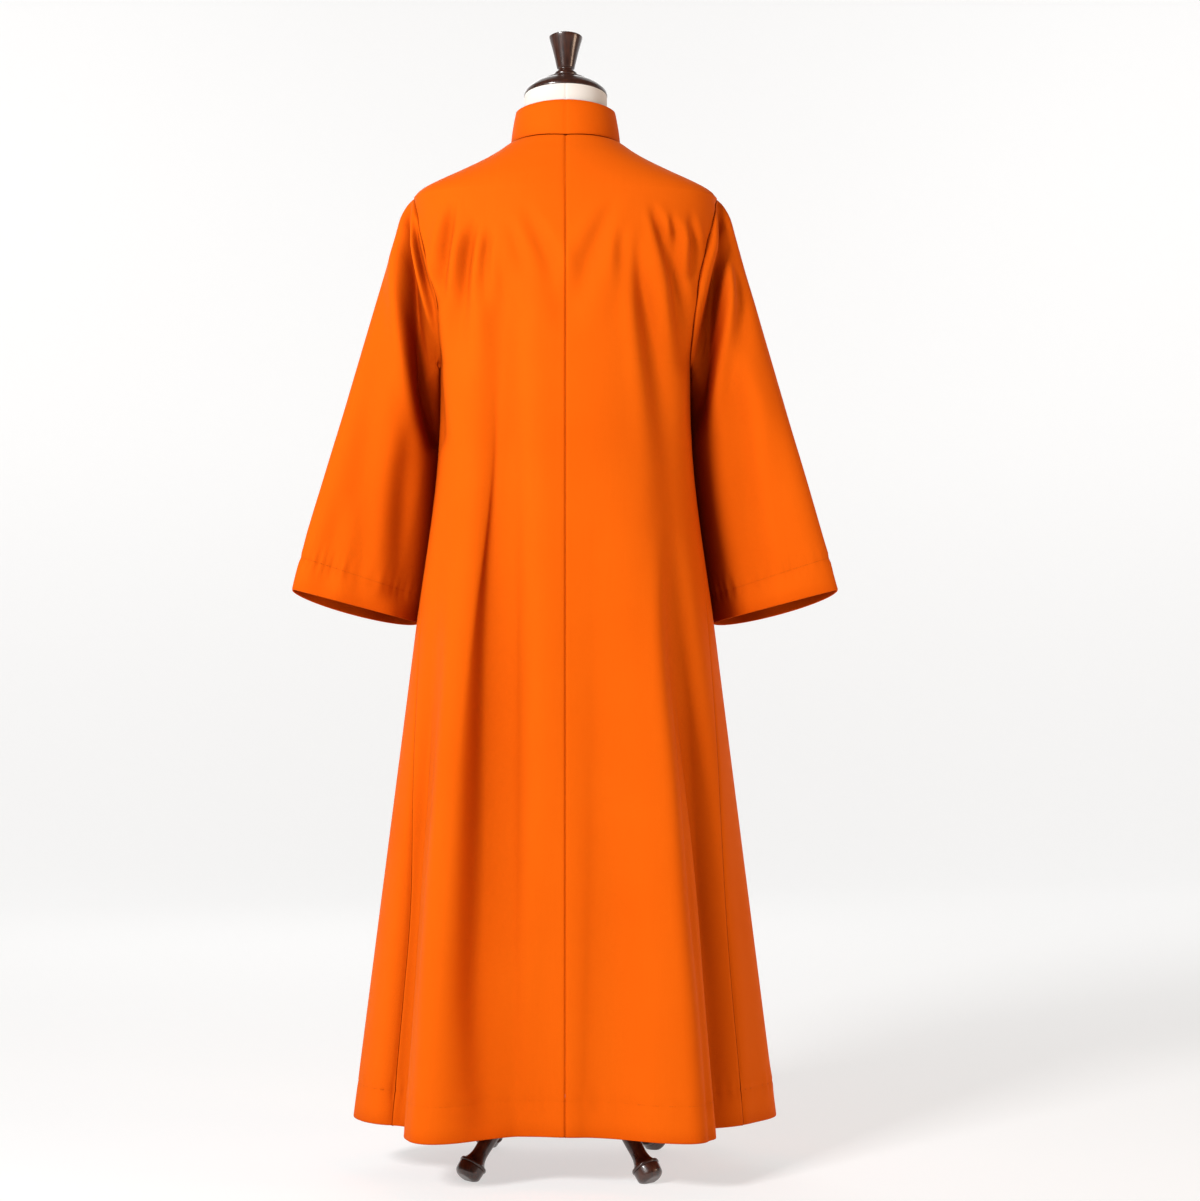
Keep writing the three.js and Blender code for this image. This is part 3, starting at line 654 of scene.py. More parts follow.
class NodeBench:
    """Builds one node material, one named node after another."""

    def __init__(self, name: str) -> None:
        """Start a material with an empty principled shader.

        Args:
            name: The material's name.
        """
        self.material = bpy.data.materials.new(name)
        self.material.use_nodes = True
        self.tree = self.material.node_tree
        self.shader = self.tree.nodes["Principled BSDF"]

    def add(self, kind: str, **settings: object) -> bpy.types.Node:
        """Add a node and set its properties.

        Args:
            kind: The node's type.
            **settings: Its properties, by name.

        Returns:
            The new node.
        """
        node = self.tree.nodes.new(kind)
        for key, value in settings.items():
            setattr(node, key, value)
        return node

    def link(self, start: Socket, end: Socket) -> None:
        """Link an output to an input."""
        self.tree.links.new(start, end)

    def feed(self, end: Socket, value: Colour | Socket) -> None:
        """Give an input its colour.

        Args:
            end: The input.
            value: A colour, or the output that makes it.
        """
        if isinstance(value, tuple):
            end.default_value = (*value, 1.0)
        else:
            self.link(value, end)

    def noise(self, vector: Socket, scale: float, detail: float) -> Socket:
        """Noise pattern on the given coordinates.

        Args:
            vector: Coordinates.
            scale: Its cells to a unit of length.
            detail: Finer layers added to it.

        Returns:
            The pattern, from 0 to 1.
        """
        node = self.add("ShaderNodeTexNoise")
        node.inputs["Scale"].default_value = scale
        node.inputs["Detail"].default_value = detail
        self.link(vector, node.inputs["Vector"])
        return node.outputs["Fac"]

    def mapped(self, vector: Socket, scale: Triple = (1.0, 1.0, 1.0),
               turn: Triple = (0.0, 0.0, 0.0)) -> Socket:
        """Coordinates stretched and turned.

        Args:
            vector: Coordinates.
            scale: Factor along each axis.
            turn: Angle about each axis.

        Returns:
            The new coordinates.
        """
        node = self.add("ShaderNodeMapping")
        node.inputs["Scale"].default_value = scale
        node.inputs["Rotation"].default_value = turn
        self.link(vector, node.inputs["Vector"])
        return node.outputs["Vector"]

    def bands(self, vector: Socket, pitch: float, wander: float) -> Socket:
        """Bands across the X of the given coordinates.

        Args:
            vector: Coordinates.
            pitch: Distance from one band to the next.
            wander: How much they bend.

        Returns:
            The pattern, from 0 to 1.
        """
        node = self.add("ShaderNodeTexWave", wave_type="BANDS", bands_direction="X")
        node.inputs["Scale"].default_value = UNIT_BAND / pitch
        node.inputs["Distortion"].default_value = wander
        self.link(vector, node.inputs["Vector"])
        return node.outputs["Fac"]

    def mix(self, factor: Socket, first: Colour | Socket, second: Colour | Socket,
            blend: str = "MIX") -> Socket:
        """Mix of two colours.

        Args:
            factor: Share of the second one.
            first: A colour, or the output that makes it.
            second: The other one.
            blend: The way of mixing.

        Returns:
            The mixed colour.
        """
        node = self.add("ShaderNodeMix", data_type="RGBA", blend_type=blend)
        self.link(factor, node.inputs["Factor"])
        self.feed(node.inputs["A"], first)
        self.feed(node.inputs["B"], second)
        return node.outputs["Result"]

    def ramp(self, value: Socket, given: Pair, wanted: Pair) -> Socket:
        """Value moved from one range to another and held inside it.

        Args:
            value: The value.
            given: Low and high end of the range it comes in.
            wanted: What they become.

        Returns:
            The moved value.
        """
        node = self.add("ShaderNodeMapRange")
        for key, number in zip(("From Min", "From Max", "To Min", "To Max"), given + wanted):
            node.inputs[key].default_value = number
        self.link(value, node.inputs["Value"])
        return node.outputs["Result"]

    def bump(self, height: Socket, strength: float, distance: float,
             below: Socket | None = None) -> Socket:
        """Bump over an earlier bump.

        Args:
            height: Pattern that stands up.
            strength: How strongly it shows.
            distance: How far it stands up.
            below: Normal of the earlier bump, if any.

        Returns:
            The new normal.
        """
        node = self.add("ShaderNodeBump")
        node.inputs["Strength"].default_value = strength
        node.inputs["Distance"].default_value = distance
        self.link(height, node.inputs["Height"])
        if below is not None:
            self.link(below, node.inputs["Normal"])
        return node.outputs["Normal"]

    def open_share(self, reach: float, openness: Pair) -> Socket:
        """How open the surface is: 0 deep in a crease and 1 in the open. It masks the shade painted into
        creases.

        Args:
            reach: Distance over which other cloth counts.
            openness: Openness that gives 0, and openness that gives 1.

        Returns:
            The share.
        """
        node = self.add("ShaderNodeAmbientOcclusion", samples=6, only_local=False)
        node.inputs["Distance"].default_value = reach
        return self.ramp(node.outputs["AO"], openness, (0.0, 1.0))

    def constants(self, **values: float | Colour) -> None:
        """Set the shader's own sockets.

        Args:
            **values: Numbers and colours, named with underscores for spaces.
        """
        for key, value in values.items():
            wanted = (*value, 1.0) if isinstance(value, tuple) else value
            self.shader.inputs[key.replace("_", " ")].default_value = wanted

    def surface(self, colour: Socket, roughness: Socket, normal: Socket) -> bpy.types.Material:
        """Link the three patterns to the shader.

        Args:
            colour: Base colour.
            roughness: Roughness.
            normal: Normal with its bumps.

        Returns:
            The finished material.
        """
        self.link(colour, self.shader.inputs["Base Color"])
        self.link(roughness, self.shader.inputs["Roughness"])
        self.link(normal, self.shader.inputs["Normal"])
        return self.material


@dataclass(frozen=True)
class ClothFinish:
    """Fine twill with a soft satin sheen. Its threads follow the piece's own cut."""

    name: str = "orange twill"
    colour: Colour = (0.80, 0.121, 0.0040)
    deep: Colour = (0.75, 0.100, 0.0028)
    # crease is painted shade: a dark colour mixed in where ambient occlusion finds the cloth shut in by
    # other cloth
    crease: Colour = (0.23, 0.014, 0.0004)
    worn: Colour = (0.93, 0.86, 0.80)
    roughness: float = 0.58
    rib: float = 0.00062
    rib_turn: float = math.radians(62)
    thread: float = 0.00035
    slubs: Triple = (700.0, 14.0, 1.0)
    cloud: float = 5.5
    crumple: float = 34.0
    # Reach and openness range of the painted crease shade
    shade_reach: float = 0.10
    openness: Pair = (0.42, 0.94)
    sheen: float = 0.08
    sheen_tint: Colour = (1.0, 0.30, 0.03)
    specular: float = 0.02
    specular_tint: Colour = (1.0, 0.42, 0.10)

    def material(self) -> bpy.types.Material:
        """Twill whose ribs, threads and slubs follow the cut, with wear along its edges and painted shade
        darkening its creases.

        Returns:
            The material.
        """
        bench = NodeBench(self.name)
        cut = bench.add("ShaderNodeUVMap", uv_map="cut").outputs["UV"]
        place = bench.add("ShaderNodeTexCoord").outputs["Object"]
        wear = bench.add("ShaderNodeAttribute", attribute_name="wear").outputs["Fac"]
        ribs = bench.bands(bench.mapped(cut, turn=(0.0, 0.0, self.rib_turn)), self.rib, wander=0.4)
        threads = bench.bands(cut, self.thread, wander=0.8)
        slubs = bench.noise(bench.mapped(cut, self.slubs), 1.0, detail=3.0)
        clouds = bench.noise(place, self.cloud, detail=3.0)
        crumple = bench.noise(place, self.crumple, detail=3.0)
        tone = bench.mix(bench.ramp(clouds, (0.3, 0.7), (0.0, 0.55)), self.colour, self.deep)
        streaked = bench.mix(bench.ramp(slubs, (0.35, 0.75), (1.0, 0.72)), self.deep, tone)
        # Painted shade: the dark crease colour mixed in where the cloth is shut in by other cloth
        crease_shaded = bench.mix(bench.open_share(self.shade_reach, self.openness), self.crease, streaked)
        # Wear at the edges multiplies a colour that already holds the painted crease shade
        worn = bench.mix(wear, crease_shaded, self.worn, "MULTIPLY")
        shine = bench.ramp(clouds, (0.25, 0.75), (self.roughness - 0.05, self.roughness + 0.06))
        normal = bench.bump(crumple, strength=0.10, distance=0.0035)
        normal = bench.bump(slubs, strength=0.10, distance=0.00025, below=normal)
        normal = bench.bump(threads, strength=0.06, distance=0.00012, below=normal)
        normal = bench.bump(ribs, strength=0.12, distance=0.00016, below=normal)
        bench.constants(Sheen_Weight=self.sheen, Sheen_Roughness=0.45, Sheen_Tint=self.sheen_tint,
                        Specular_IOR_Level=self.specular, Specular_Tint=self.specular_tint)
        return bench.surface(worn, shine, normal)


# The thread carries the same painted crease shade as the twill
THREAD_FINISH = ClothFinish("orange thread", (0.86, 0.125, 0.005), (0.72, 0.085, 0.003), roughness=0.42)


@dataclass(frozen=True)
class CoverFinish:
    """Cream jersey, stretched smooth."""

    name: str = "cream jersey"
    colour: Colour = (0.80, 0.745, 0.68)
    deep: Colour = (0.70, 0.645, 0.58)
    roughness: float = 0.86
    stitch: float = 0.0009
    grain: float = 900.0
    cloud: float = 9.0

    def material(self) -> bpy.types.Material:
        """Stretched jersey with fine courses and a little dust in its tone.

        Returns:
            The material.
        """
        bench = NodeBench(self.name)
        place = bench.add("ShaderNodeTexCoord").outputs["Object"]
        courses = bench.bands(bench.mapped(place, turn=(0.0, QUARTER, 0.0)), self.stitch, wander=0.5)
        grain = bench.noise(place, self.grain, detail=2.0)
        clouds = bench.noise(place, self.cloud, detail=3.0)
        colour = bench.mix(bench.ramp(clouds, (0.3, 0.75), (0.0, 0.5)), self.colour, self.deep)
        shine = bench.ramp(grain, (0.3, 0.7), (self.roughness - 0.05, self.roughness + 0.05))
        normal = bench.bump(courses, strength=0.12, distance=0.0003)
        normal = bench.bump(grain, strength=0.15, distance=0.0003, below=normal)
        bench.constants(Sheen_Weight=0.2, Sheen_Roughness=0.5, Specular_IOR_Level=0.25)
        return bench.surface(colour, shine, normal)


@dataclass(frozen=True)
class WoodFinish:
    """Dark brown wood under lacquer."""

    name: str = "dark lacquered wood"
    colour: Colour = (0.060, 0.019, 0.010)
    grain: Colour = (0.018, 0.006, 0.004)
    roughness: float = 0.34
    coat: float = 0.6
    fibres: Triple = (260.0, 260.0, 22.0)
    cloud: float = 28.0

    def material(self) -> bpy.types.Material:
        """Dark turned wood: grain along its length under a lacquer that pools and wears a little.

        Returns:
            The material.
        """
        bench = NodeBench(self.name)
        place = bench.add("ShaderNodeTexCoord").outputs["Object"]
        fibres = bench.noise(bench.mapped(place, self.fibres), 1.0, detail=4.0)
        clouds = bench.noise(place, self.cloud, detail=2.0)
        colour = bench.mix(bench.ramp(fibres, (0.35, 0.7), (0.0, 1.0)), self.colour, self.grain)
        shine = bench.ramp(clouds, (0.3, 0.7), (self.roughness - 0.08, self.roughness + 0.10))
        normal = bench.bump(fibres, strength=0.10, distance=0.0004)
        bench.constants(Coat_Weight=self.coat, Coat_Roughness=0.12, Specular_IOR_Level=0.5)
        return bench.surface(colour, shine, normal)


# ------------------------------------------------------------------ pieces


def grid_of(columns: int, rows: int) -> tuple[bmesh.types.BMesh, Array, Array]:
    """Flat grid, to be laid on a surface.

    Args:
        columns: Vertices across.
        rows: Vertices along.

    Returns:
        The grid, and the column and the row of each of its vertices.
    """
    bm = bmesh.new()
    bmesh.ops.create_grid(bm, x_segments=columns - 1, y_segments=rows - 1, size=0.5)
    spots = np.array([vert.co[:2] for vert in bm.verts]) + 0.5
    column_at = np.rint(spots[:, 0] * (columns - 1)).astype(int)
    row_at = np.rint(spots[:, 1] * (rows - 1)).astype(int)
    return bm, column_at, row_at


def lay(bm: bmesh.types.BMesh, places: Array) -> None:
    """Put every vertex at its place.

    Args:
        bm: The grid.
        places: Place of each vertex.
    """
    for vert, place in zip(bm.verts, places):
        vert.co = place


def finished(bm: bmesh.types.BMesh, name: str, node: str | None,
             material: bpy.types.Material) -> bpy.types.Object:
    """Turn a bmesh into a piece that rides on the part.

    Args:
        bm: The shape, which is freed.
        name: The piece's name.
        node: The solid that it replaces, if any.
        material: Its finish.

    Returns:
        The new object.
    """
    mesh = bpy.data.meshes.new(name)
    bm.to_mesh(mesh)
    bm.free()
    mesh.shade_smooth()
    mesh.materials.append(material)
    piece = bpy.data.objects.new(name, mesh)
    bpy.context.scene.collection.objects.link(piece)
    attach(piece, "root")
    if node is not None:
        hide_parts(node)
    return piece


@dataclass(frozen=True)
class Station:
    """Row or column of a sheet's grid: where it is, and how far it is turned in."""

    place: float
    tuck: float = 0.0


def plain_stations(low: float, high: float, count: int) -> list[Station]:
    """Evenly spaced stations from low up to, but not including, high."""
    return [Station(low + (high - low) * i / count) for i in range(count)]


def seam_stations(edge: float, inwards: float) -> list[Station]:
    """Stations of a turned-in seam allowance, from its raw edge out to the seam line.

    Args:
        edge: Place of the seam line.
        inwards: Small step from there into the piece.

    Returns:
        Stations, the raw edge first.
    """
    depths = (SEAM_ALLOWANCE, SEAM_ALLOWANCE * 0.6, SEAM_ALLOWANCE * 0.3, 0.0013, 0.0005)
    turned = [Station(edge, depth) for depth in depths]
    steps = (0.0, 0.3, 0.8, 1.7, 3.0, 5.0)
    return turned + [Station(edge + inwards * step) for step in steps]


def hem_stations(edge: float, per_metre: float, depth: float) -> list[Station]:
    """Stations of a hem turned up inside, from just above the edge round to its raw edge.

    Args:
        edge: Place of the edge.
        per_metre: How far places move back for each metre up from the edge.
        depth: Depth of the hem.

    Returns:
        Stations, in order.
    """
    bend = [(0.0030, 0.0), (0.0012, 0.00006), (0.0003, 0.0004), (0.0, FOLDED_GAP / 2),
            (0.0003, FOLDED_GAP - 0.0004), (0.0012, FOLDED_GAP - 0.00006), (0.003, FOLDED_GAP)]
    rise = [(depth * share, FOLDED_GAP) for share in (0.15, 0.35, 0.6, 0.8, 0.97, 1.06)]
    return [Station(edge - per_metre * up, tuck) for up, tuck in bend + rise]


@dataclass
class ClothSheet:
    """One sheet of cloth: a grid laid on a surface, with its edges turned in."""

    name: str
    flat: Pair
    area: float
    wear_height: float = 0.012

    def rows(self) -> list[Station]:
        """Stations along the sheet."""
        raise NotImplementedError

    def columns(self) -> list[Station]:
        """Stations across the sheet."""
        raise NotImplementedError

    def surface(self, row: Array, column: Array) -> tuple[Array, Array]:
        """Point and outward normal of the sewn cloth at each row and column."""
        raise NotImplementedError

    def tuck_direction(self, row: Array, column: Array, normals: Array) -> Array:
        """Way in which turned-in cloth goes."""
        return -normals

    def edge_wear(self, row: Array, column: Array) -> Array:
        """Share of wear, from 0 to 1."""
        return np.zeros_like(row)

    def build(self, material: bpy.types.Material) -> bpy.types.Object:
        """Lay the grid on its surface and give it its thickness.

        Args:
            material: The cloth.

        Returns:
            The finished piece.
        """
        rows, columns = self.rows(), self.columns()
        bm, column_at, row_at = grid_of(len(columns), len(rows))
        row, column = column_of(rows, "place")[row_at], column_of(columns, "place")[column_at]
        tuck = column_of(rows, "tuck")[row_at] + column_of(columns, "tuck")[column_at]
        points, normals = self.surface(row, column)
        placed = points + self.tuck_direction(row, column, normals) * tuck[:, None]
        lay(bm, placed)
        self.face_outwards(bm, normals, tuck)
        piece = finished(bm, self.name, self.name, material)
        self.lay_cut(piece.data, placed, row_at, column_at)
        wear = piece.data.attributes.new("wear", "FLOAT", "POINT")
        wear.data.foreach_set("value", self.edge_wear(row, column).astype(np.float32))
        wall = piece.modifiers.new("thickness", "SOLIDIFY")
        wall.thickness = CLOTH
        wall.offset = -1.0
        measured = sum(face.area for face in piece.data.polygons)
        log.info("%s: %d faces, %.3f square metres of cloth", self.name, len(piece.data.polygons), measured)
        return piece

    @staticmethod
    def face_outwards(bm: bmesh.types.BMesh, normals: Array, tuck: Array) -> None:
        """Point the faces the way that the surface's normals do.

        Args:
            bm: The placed grid.
            normals: Outward normal at each vertex.
            tuck: How far each vertex is turned in.
        """
        bmesh.ops.recalc_face_normals(bm, faces=bm.faces)
        bm.verts.index_update()
        votes = 0.0
        for face in bm.faces:
            first = face.verts[0].index
            if tuck[first] == 0.0:
                votes += face.normal.dot(Vector(normals[first]))
        if votes < 0:
            bmesh.ops.reverse_faces(bm, faces=bm.faces)

    @staticmethod
    def lay_cut(mesh: bpy.types.Mesh, placed: Array, row_at: Array, column_at: Array) -> None:
        """Give the mesh the coordinates of its flat cut, in metres.

        Args:
            mesh: The sheet's mesh.
            placed: Its vertices.
            row_at: Row of each vertex.
            column_at: Column of each vertex.
        """
        grid = np.zeros((row_at.max() + 1, column_at.max() + 1, 3))
        grid[row_at, column_at] = placed
        across = np.zeros(grid.shape[:2])
        along = np.zeros(grid.shape[:2])
        across[:, 1:] = np.cumsum(np.linalg.norm(np.diff(grid, axis=1), axis=-1), axis=1)
        along[1:] = np.cumsum(np.linalg.norm(np.diff(grid, axis=0), axis=-1), axis=0)
        flat = np.stack([across[row_at, column_at], along[row_at, column_at]], axis=-1)
        corner = np.empty(len(mesh.loops), dtype=np.int32)
        mesh.loops.foreach_get("vertex_index", corner)
        layer = mesh.uv_layers.new(name="cut")
        layer.data.foreach_set("uv", flat[corner].astype(np.float32).ravel())


# ------------------------------------------------------------------ sleeves


@dataclass(frozen=True)
class SleeveRing:
    """Ring of the sleeve: its outer point, its inner point and half its depth."""

    out_x: float
    out_y: float
    out_z: float
    in_x: float
    in_y: float
    in_z: float
    depth: float


SLEEVE_RINGS = (
    SleeveRing(0.221, 0, 1.397, 0.1815, 0, 1.147, 0.061),
    SleeveRing(0.2285, 0, 1.39, 0.1820, -0.008, 1.142, 0.0615),
    SleeveRing(0.24, 0, 1.371, 0.1816, -0.02, 1.13, 0.062),
    SleeveRing(0.249, 0, 1.34, 0.1806, -0.033, 1.114, 0.062),
    SleeveRing(0.262, 0, 1.293, 0.1805, -0.045, 1.092, 0.061),
    SleeveRing(0.279, -0.001, 1.235, 0.18, -0.052, 1.062, 0.058),
    SleeveRing(0.297, -0.002, 1.173, 0.1815, -0.055, 1.026, 0.054),
    SleeveRing(0.317, -0.003, 1.104, 0.186, -0.055, 0.984, 0.05),
    SleeveRing(0.337, -0.004, 1.035, 0.192, -0.054, 0.938, 0.046),
    SleeveRing(0.357, -0.005, 0.966, 0.199, -0.052, 0.888, 0.042),
    SleeveRing(0.377, -0.006, 0.897, 0.2065, -0.049, 0.836, 0.038),
    SleeveRing(0.397, -0.006, 0.828, 0.2145, -0.045, 0.78, 0.034),
)
LAST_RING = float(len(SLEEVE_RINGS) - 1)
RING_LENGTH = 0.0655
SLEEVE_RADIUS = 0.09
CUFF_FRONT_DROP = 0.014
CUFF_DROP_BEGINS = 7.0
SLEEVE_BODY_FADE = 3.5


@dataclass(frozen=True)
class Hollow:
    """Soft hollow down a sleeve: its turn and width in degrees, its depth and first ring."""

    turn: float
    width: float
    depth: float
    begins: float


SLEEVE_HOLLOWS = (Hollow(95, 30, 0.006, 4), Hollow(262, 34, 0.005, 5))


@dataclass(frozen=True)
class SleeveSurface:
    """Outer surface of the left sleeve, by ring and by turn from its outer line."""

    turn_step: float = 0.01
    ring_step: float = 0.02

    def read(self, column: str, ring: Array) -> Array:
        """One column of the rings."""
        return smooth_table(np.arange(LAST_RING + 1), column_of(SLEEVE_RINGS, column), ring)

    def ring_point(self, ring: Array, turn: Array) -> Array:
        """Point of the sleeve's leaning ellipses.

        Args:
            ring: Place down the sleeve.
            turn: Angle from its outer line.

        Returns:
            One point for each ring and turn.
        """
        outer = np.stack([self.read(f"out_{axis}", ring) for axis in "xyz"], axis=-1)
        inner = np.stack([self.read(f"in_{axis}", ring) for axis in "xyz"], axis=-1)
        centre, long = (outer + inner) / 2, (outer - inner) / 2
        across = np.array([0.0, 1.0, 0.0]) - long * (long[..., 1:2] / (long**2).sum(-1, keepdims=True))
        depth = self.read("depth", ring)
        degrees = np.degrees(np.mod(turn, 2 * math.pi))
        for hollow in SLEEVE_HOLLOWS:
            off = np.clip(np.abs(degrees - hollow.turn) / hollow.width, 0.0, 1.0)
            depth = depth - hollow.depth * (1 - off**2) ** 2 * smooth_rise(ring, hollow.begins, LAST_RING)
        point = centre + long * np.cos(turn)[..., None] + unit(across) * (np.sin(turn) * depth)[..., None]
        frontness = np.clip(-np.sin(turn), 0.0, 1.0)
        drop = CUFF_FRONT_DROP * frontness * smooth_rise(ring, CUFF_DROP_BEGINS, LAST_RING)
        point[..., 2] -= drop
        return point

    def seam_point(self, turn: Array) -> Array:
        """Point of the armhole seam on the body."""
        z = armhole_height(turn)
        return BODY.point(BODY.armhole_bearing(z, np.sin(turn)), z)

    def point(self, ring: Array, turn: Array) -> Array:
        """Point of the sleeve, which leaves the body at the armhole seam.

        Args:
            ring: Place down the sleeve.
            turn: Angle from its outer line.

        Returns:
            One point for each ring and turn.
        """
        fade = (1 - np.clip(ring / SLEEVE_BODY_FADE, 0.0, 1.0)) ** 2
        shift = self.seam_point(turn) - self.ring_point(np.zeros_like(ring), turn)
        return self.ring_point(ring, turn) + shift * fade[..., None]

    def normal(self, ring: Array, turn: Array) -> Array:
        """Outward normal of the sleeve.

        Args:
            ring: Place down the sleeve.
            turn: Angle from its outer line.

        Returns:
            One normal for each ring and turn.
        """
        around = self.point(ring, turn + self.turn_step) - self.point(ring, turn - self.turn_step)
        low, high = (np.clip(ring + step, 0, LAST_RING) for step in (-self.ring_step, self.ring_step))
        down = self.point(high, turn) - self.point(low, turn)
        normal = unit(np.cross(down, around))
        centre = (self.point(ring, turn) + self.point(ring, turn + math.pi)) / 2
        outwards = ((self.point(ring, turn) - centre) * normal).sum(-1, keepdims=True)
        return np.where(outwards < 0, -normal, normal)


SLEEVE = SleeveSurface()


@dataclass
class Sleeve(ClothSheet):
    """Set-in bell sleeve: one sheet whose edges meet in the underarm seam."""

    side: Side = Side.LEFT
    around: int = 150
    along: int = 104
    seam_gap: float = 0.004
    dip: float = 0.0010
    armhole_dip: float = 0.0004
    stitching: Puckers = Puckers(CUFF_HEM_DEPTH, 0.0017)

    def columns(self) -> list[Station]:
        """Turns once round from the underarm seam.

        Returns:
            Stations, with the seam allowances at both ends.
        """
        start = seam_stations(math.pi + self.seam_gap, inwards=0.0035)
        end = [Station(4 * math.pi - s.place, s.tuck) for s in reversed(start)]
        first, last = start[-1].place, end[0].place
        return start[:-1] + plain_stations(first, last, self.around) + end

    def rows(self) -> list[Station]:
        """Rings from the armhole seam allowance to the turned-up cuff hem.

        Returns:
            Stations, from the top down.
        """
        start = seam_stations(0.012, inwards=0.022)
        hem = hem_stations(LAST_RING, 1 / RING_LENGTH, CUFF_HEM_DEPTH)
        first, last = start[-1].place, hem[0].place
        return start[:-1] + plain_stations(first, last, self.along) + hem

    def above_cuff(self, row: Array) -> Array:
        """Distance up from the cuff."""
        return (LAST_RING - row) * RING_LENGTH

    def surface(self, row: Array, column: Array) -> tuple[Array, Array]:
        """Sleeve surface with its creases, seam dips and drawn-up stitching.

        Args:
            row: Ring of each spot.
            column: Its turn.

        Returns:
            Points and outward normals.
        """
        first_ring_length, creased_from, settled_from = 0.03, 0.35, 0.03
        normals = SLEEVE.normal(row, column) * self.side.flip()
        points = SLEEVE.point(row, column) * self.side.flip()
        out = crease_offsets(points, normals) * smooth_rise(row, 0.0, creased_from)
        out -= self.armhole_dip * bump_at(row * first_ring_length, SEAM_DIP_WIDTH)
        from_seam = np.abs(np.mod(column, 2 * math.pi) - math.pi) * SLEEVE_RADIUS
        out -= self.dip * bump_at(from_seam, SEAM_DIP_WIDTH)
        drawn = self.stitching.offset(column * SLEEVE_RADIUS * self.side.value, self.above_cuff(row))
        out += drawn * smooth_rise(from_seam, 0.0, settled_from)
        return points + normals * out[:, None], normals

    def tuck_direction(self, row: Array, column: Array, normals: Array) -> Array:
        """Between the sleeve and the body at the armhole, and into the tube elsewhere.

        Args:
            row: Ring of each spot.
            column: Its turn.
            normals: Its outward normal.

        Returns:
            Unit directions.
        """
        z, shared_to = armhole_height(column), 0.3
        body = BODY.normal(BODY.armhole_bearing(z, np.sin(column)), z) * self.side.flip()
        share = (1 - smooth_rise(row, 0.0, shared_to))[:, None]
        return -unit(normals + body * share)

    def edge_wear(self, row: Array, column: Array) -> Array:
        """Wear at the cuff."""
        return bump_at(self.above_cuff(row), self.wear_height)


# ------------------------------------------------------------------ panels


SHOULDER_ROWS = 7.0
ARMHOLE_ROWS = 10.0
SKIRT_ROWS = 12.0
SKIRT_FROM = SHOULDER_ROWS + ARMHOLE_ROWS
LAST_ROW = SKIRT_FROM + SKIRT_ROWS
SKIRT_ROW = (UNDERARM_Z - HEM_Z) / SKIRT_ROWS
LAP_SHARE = 2 / 13


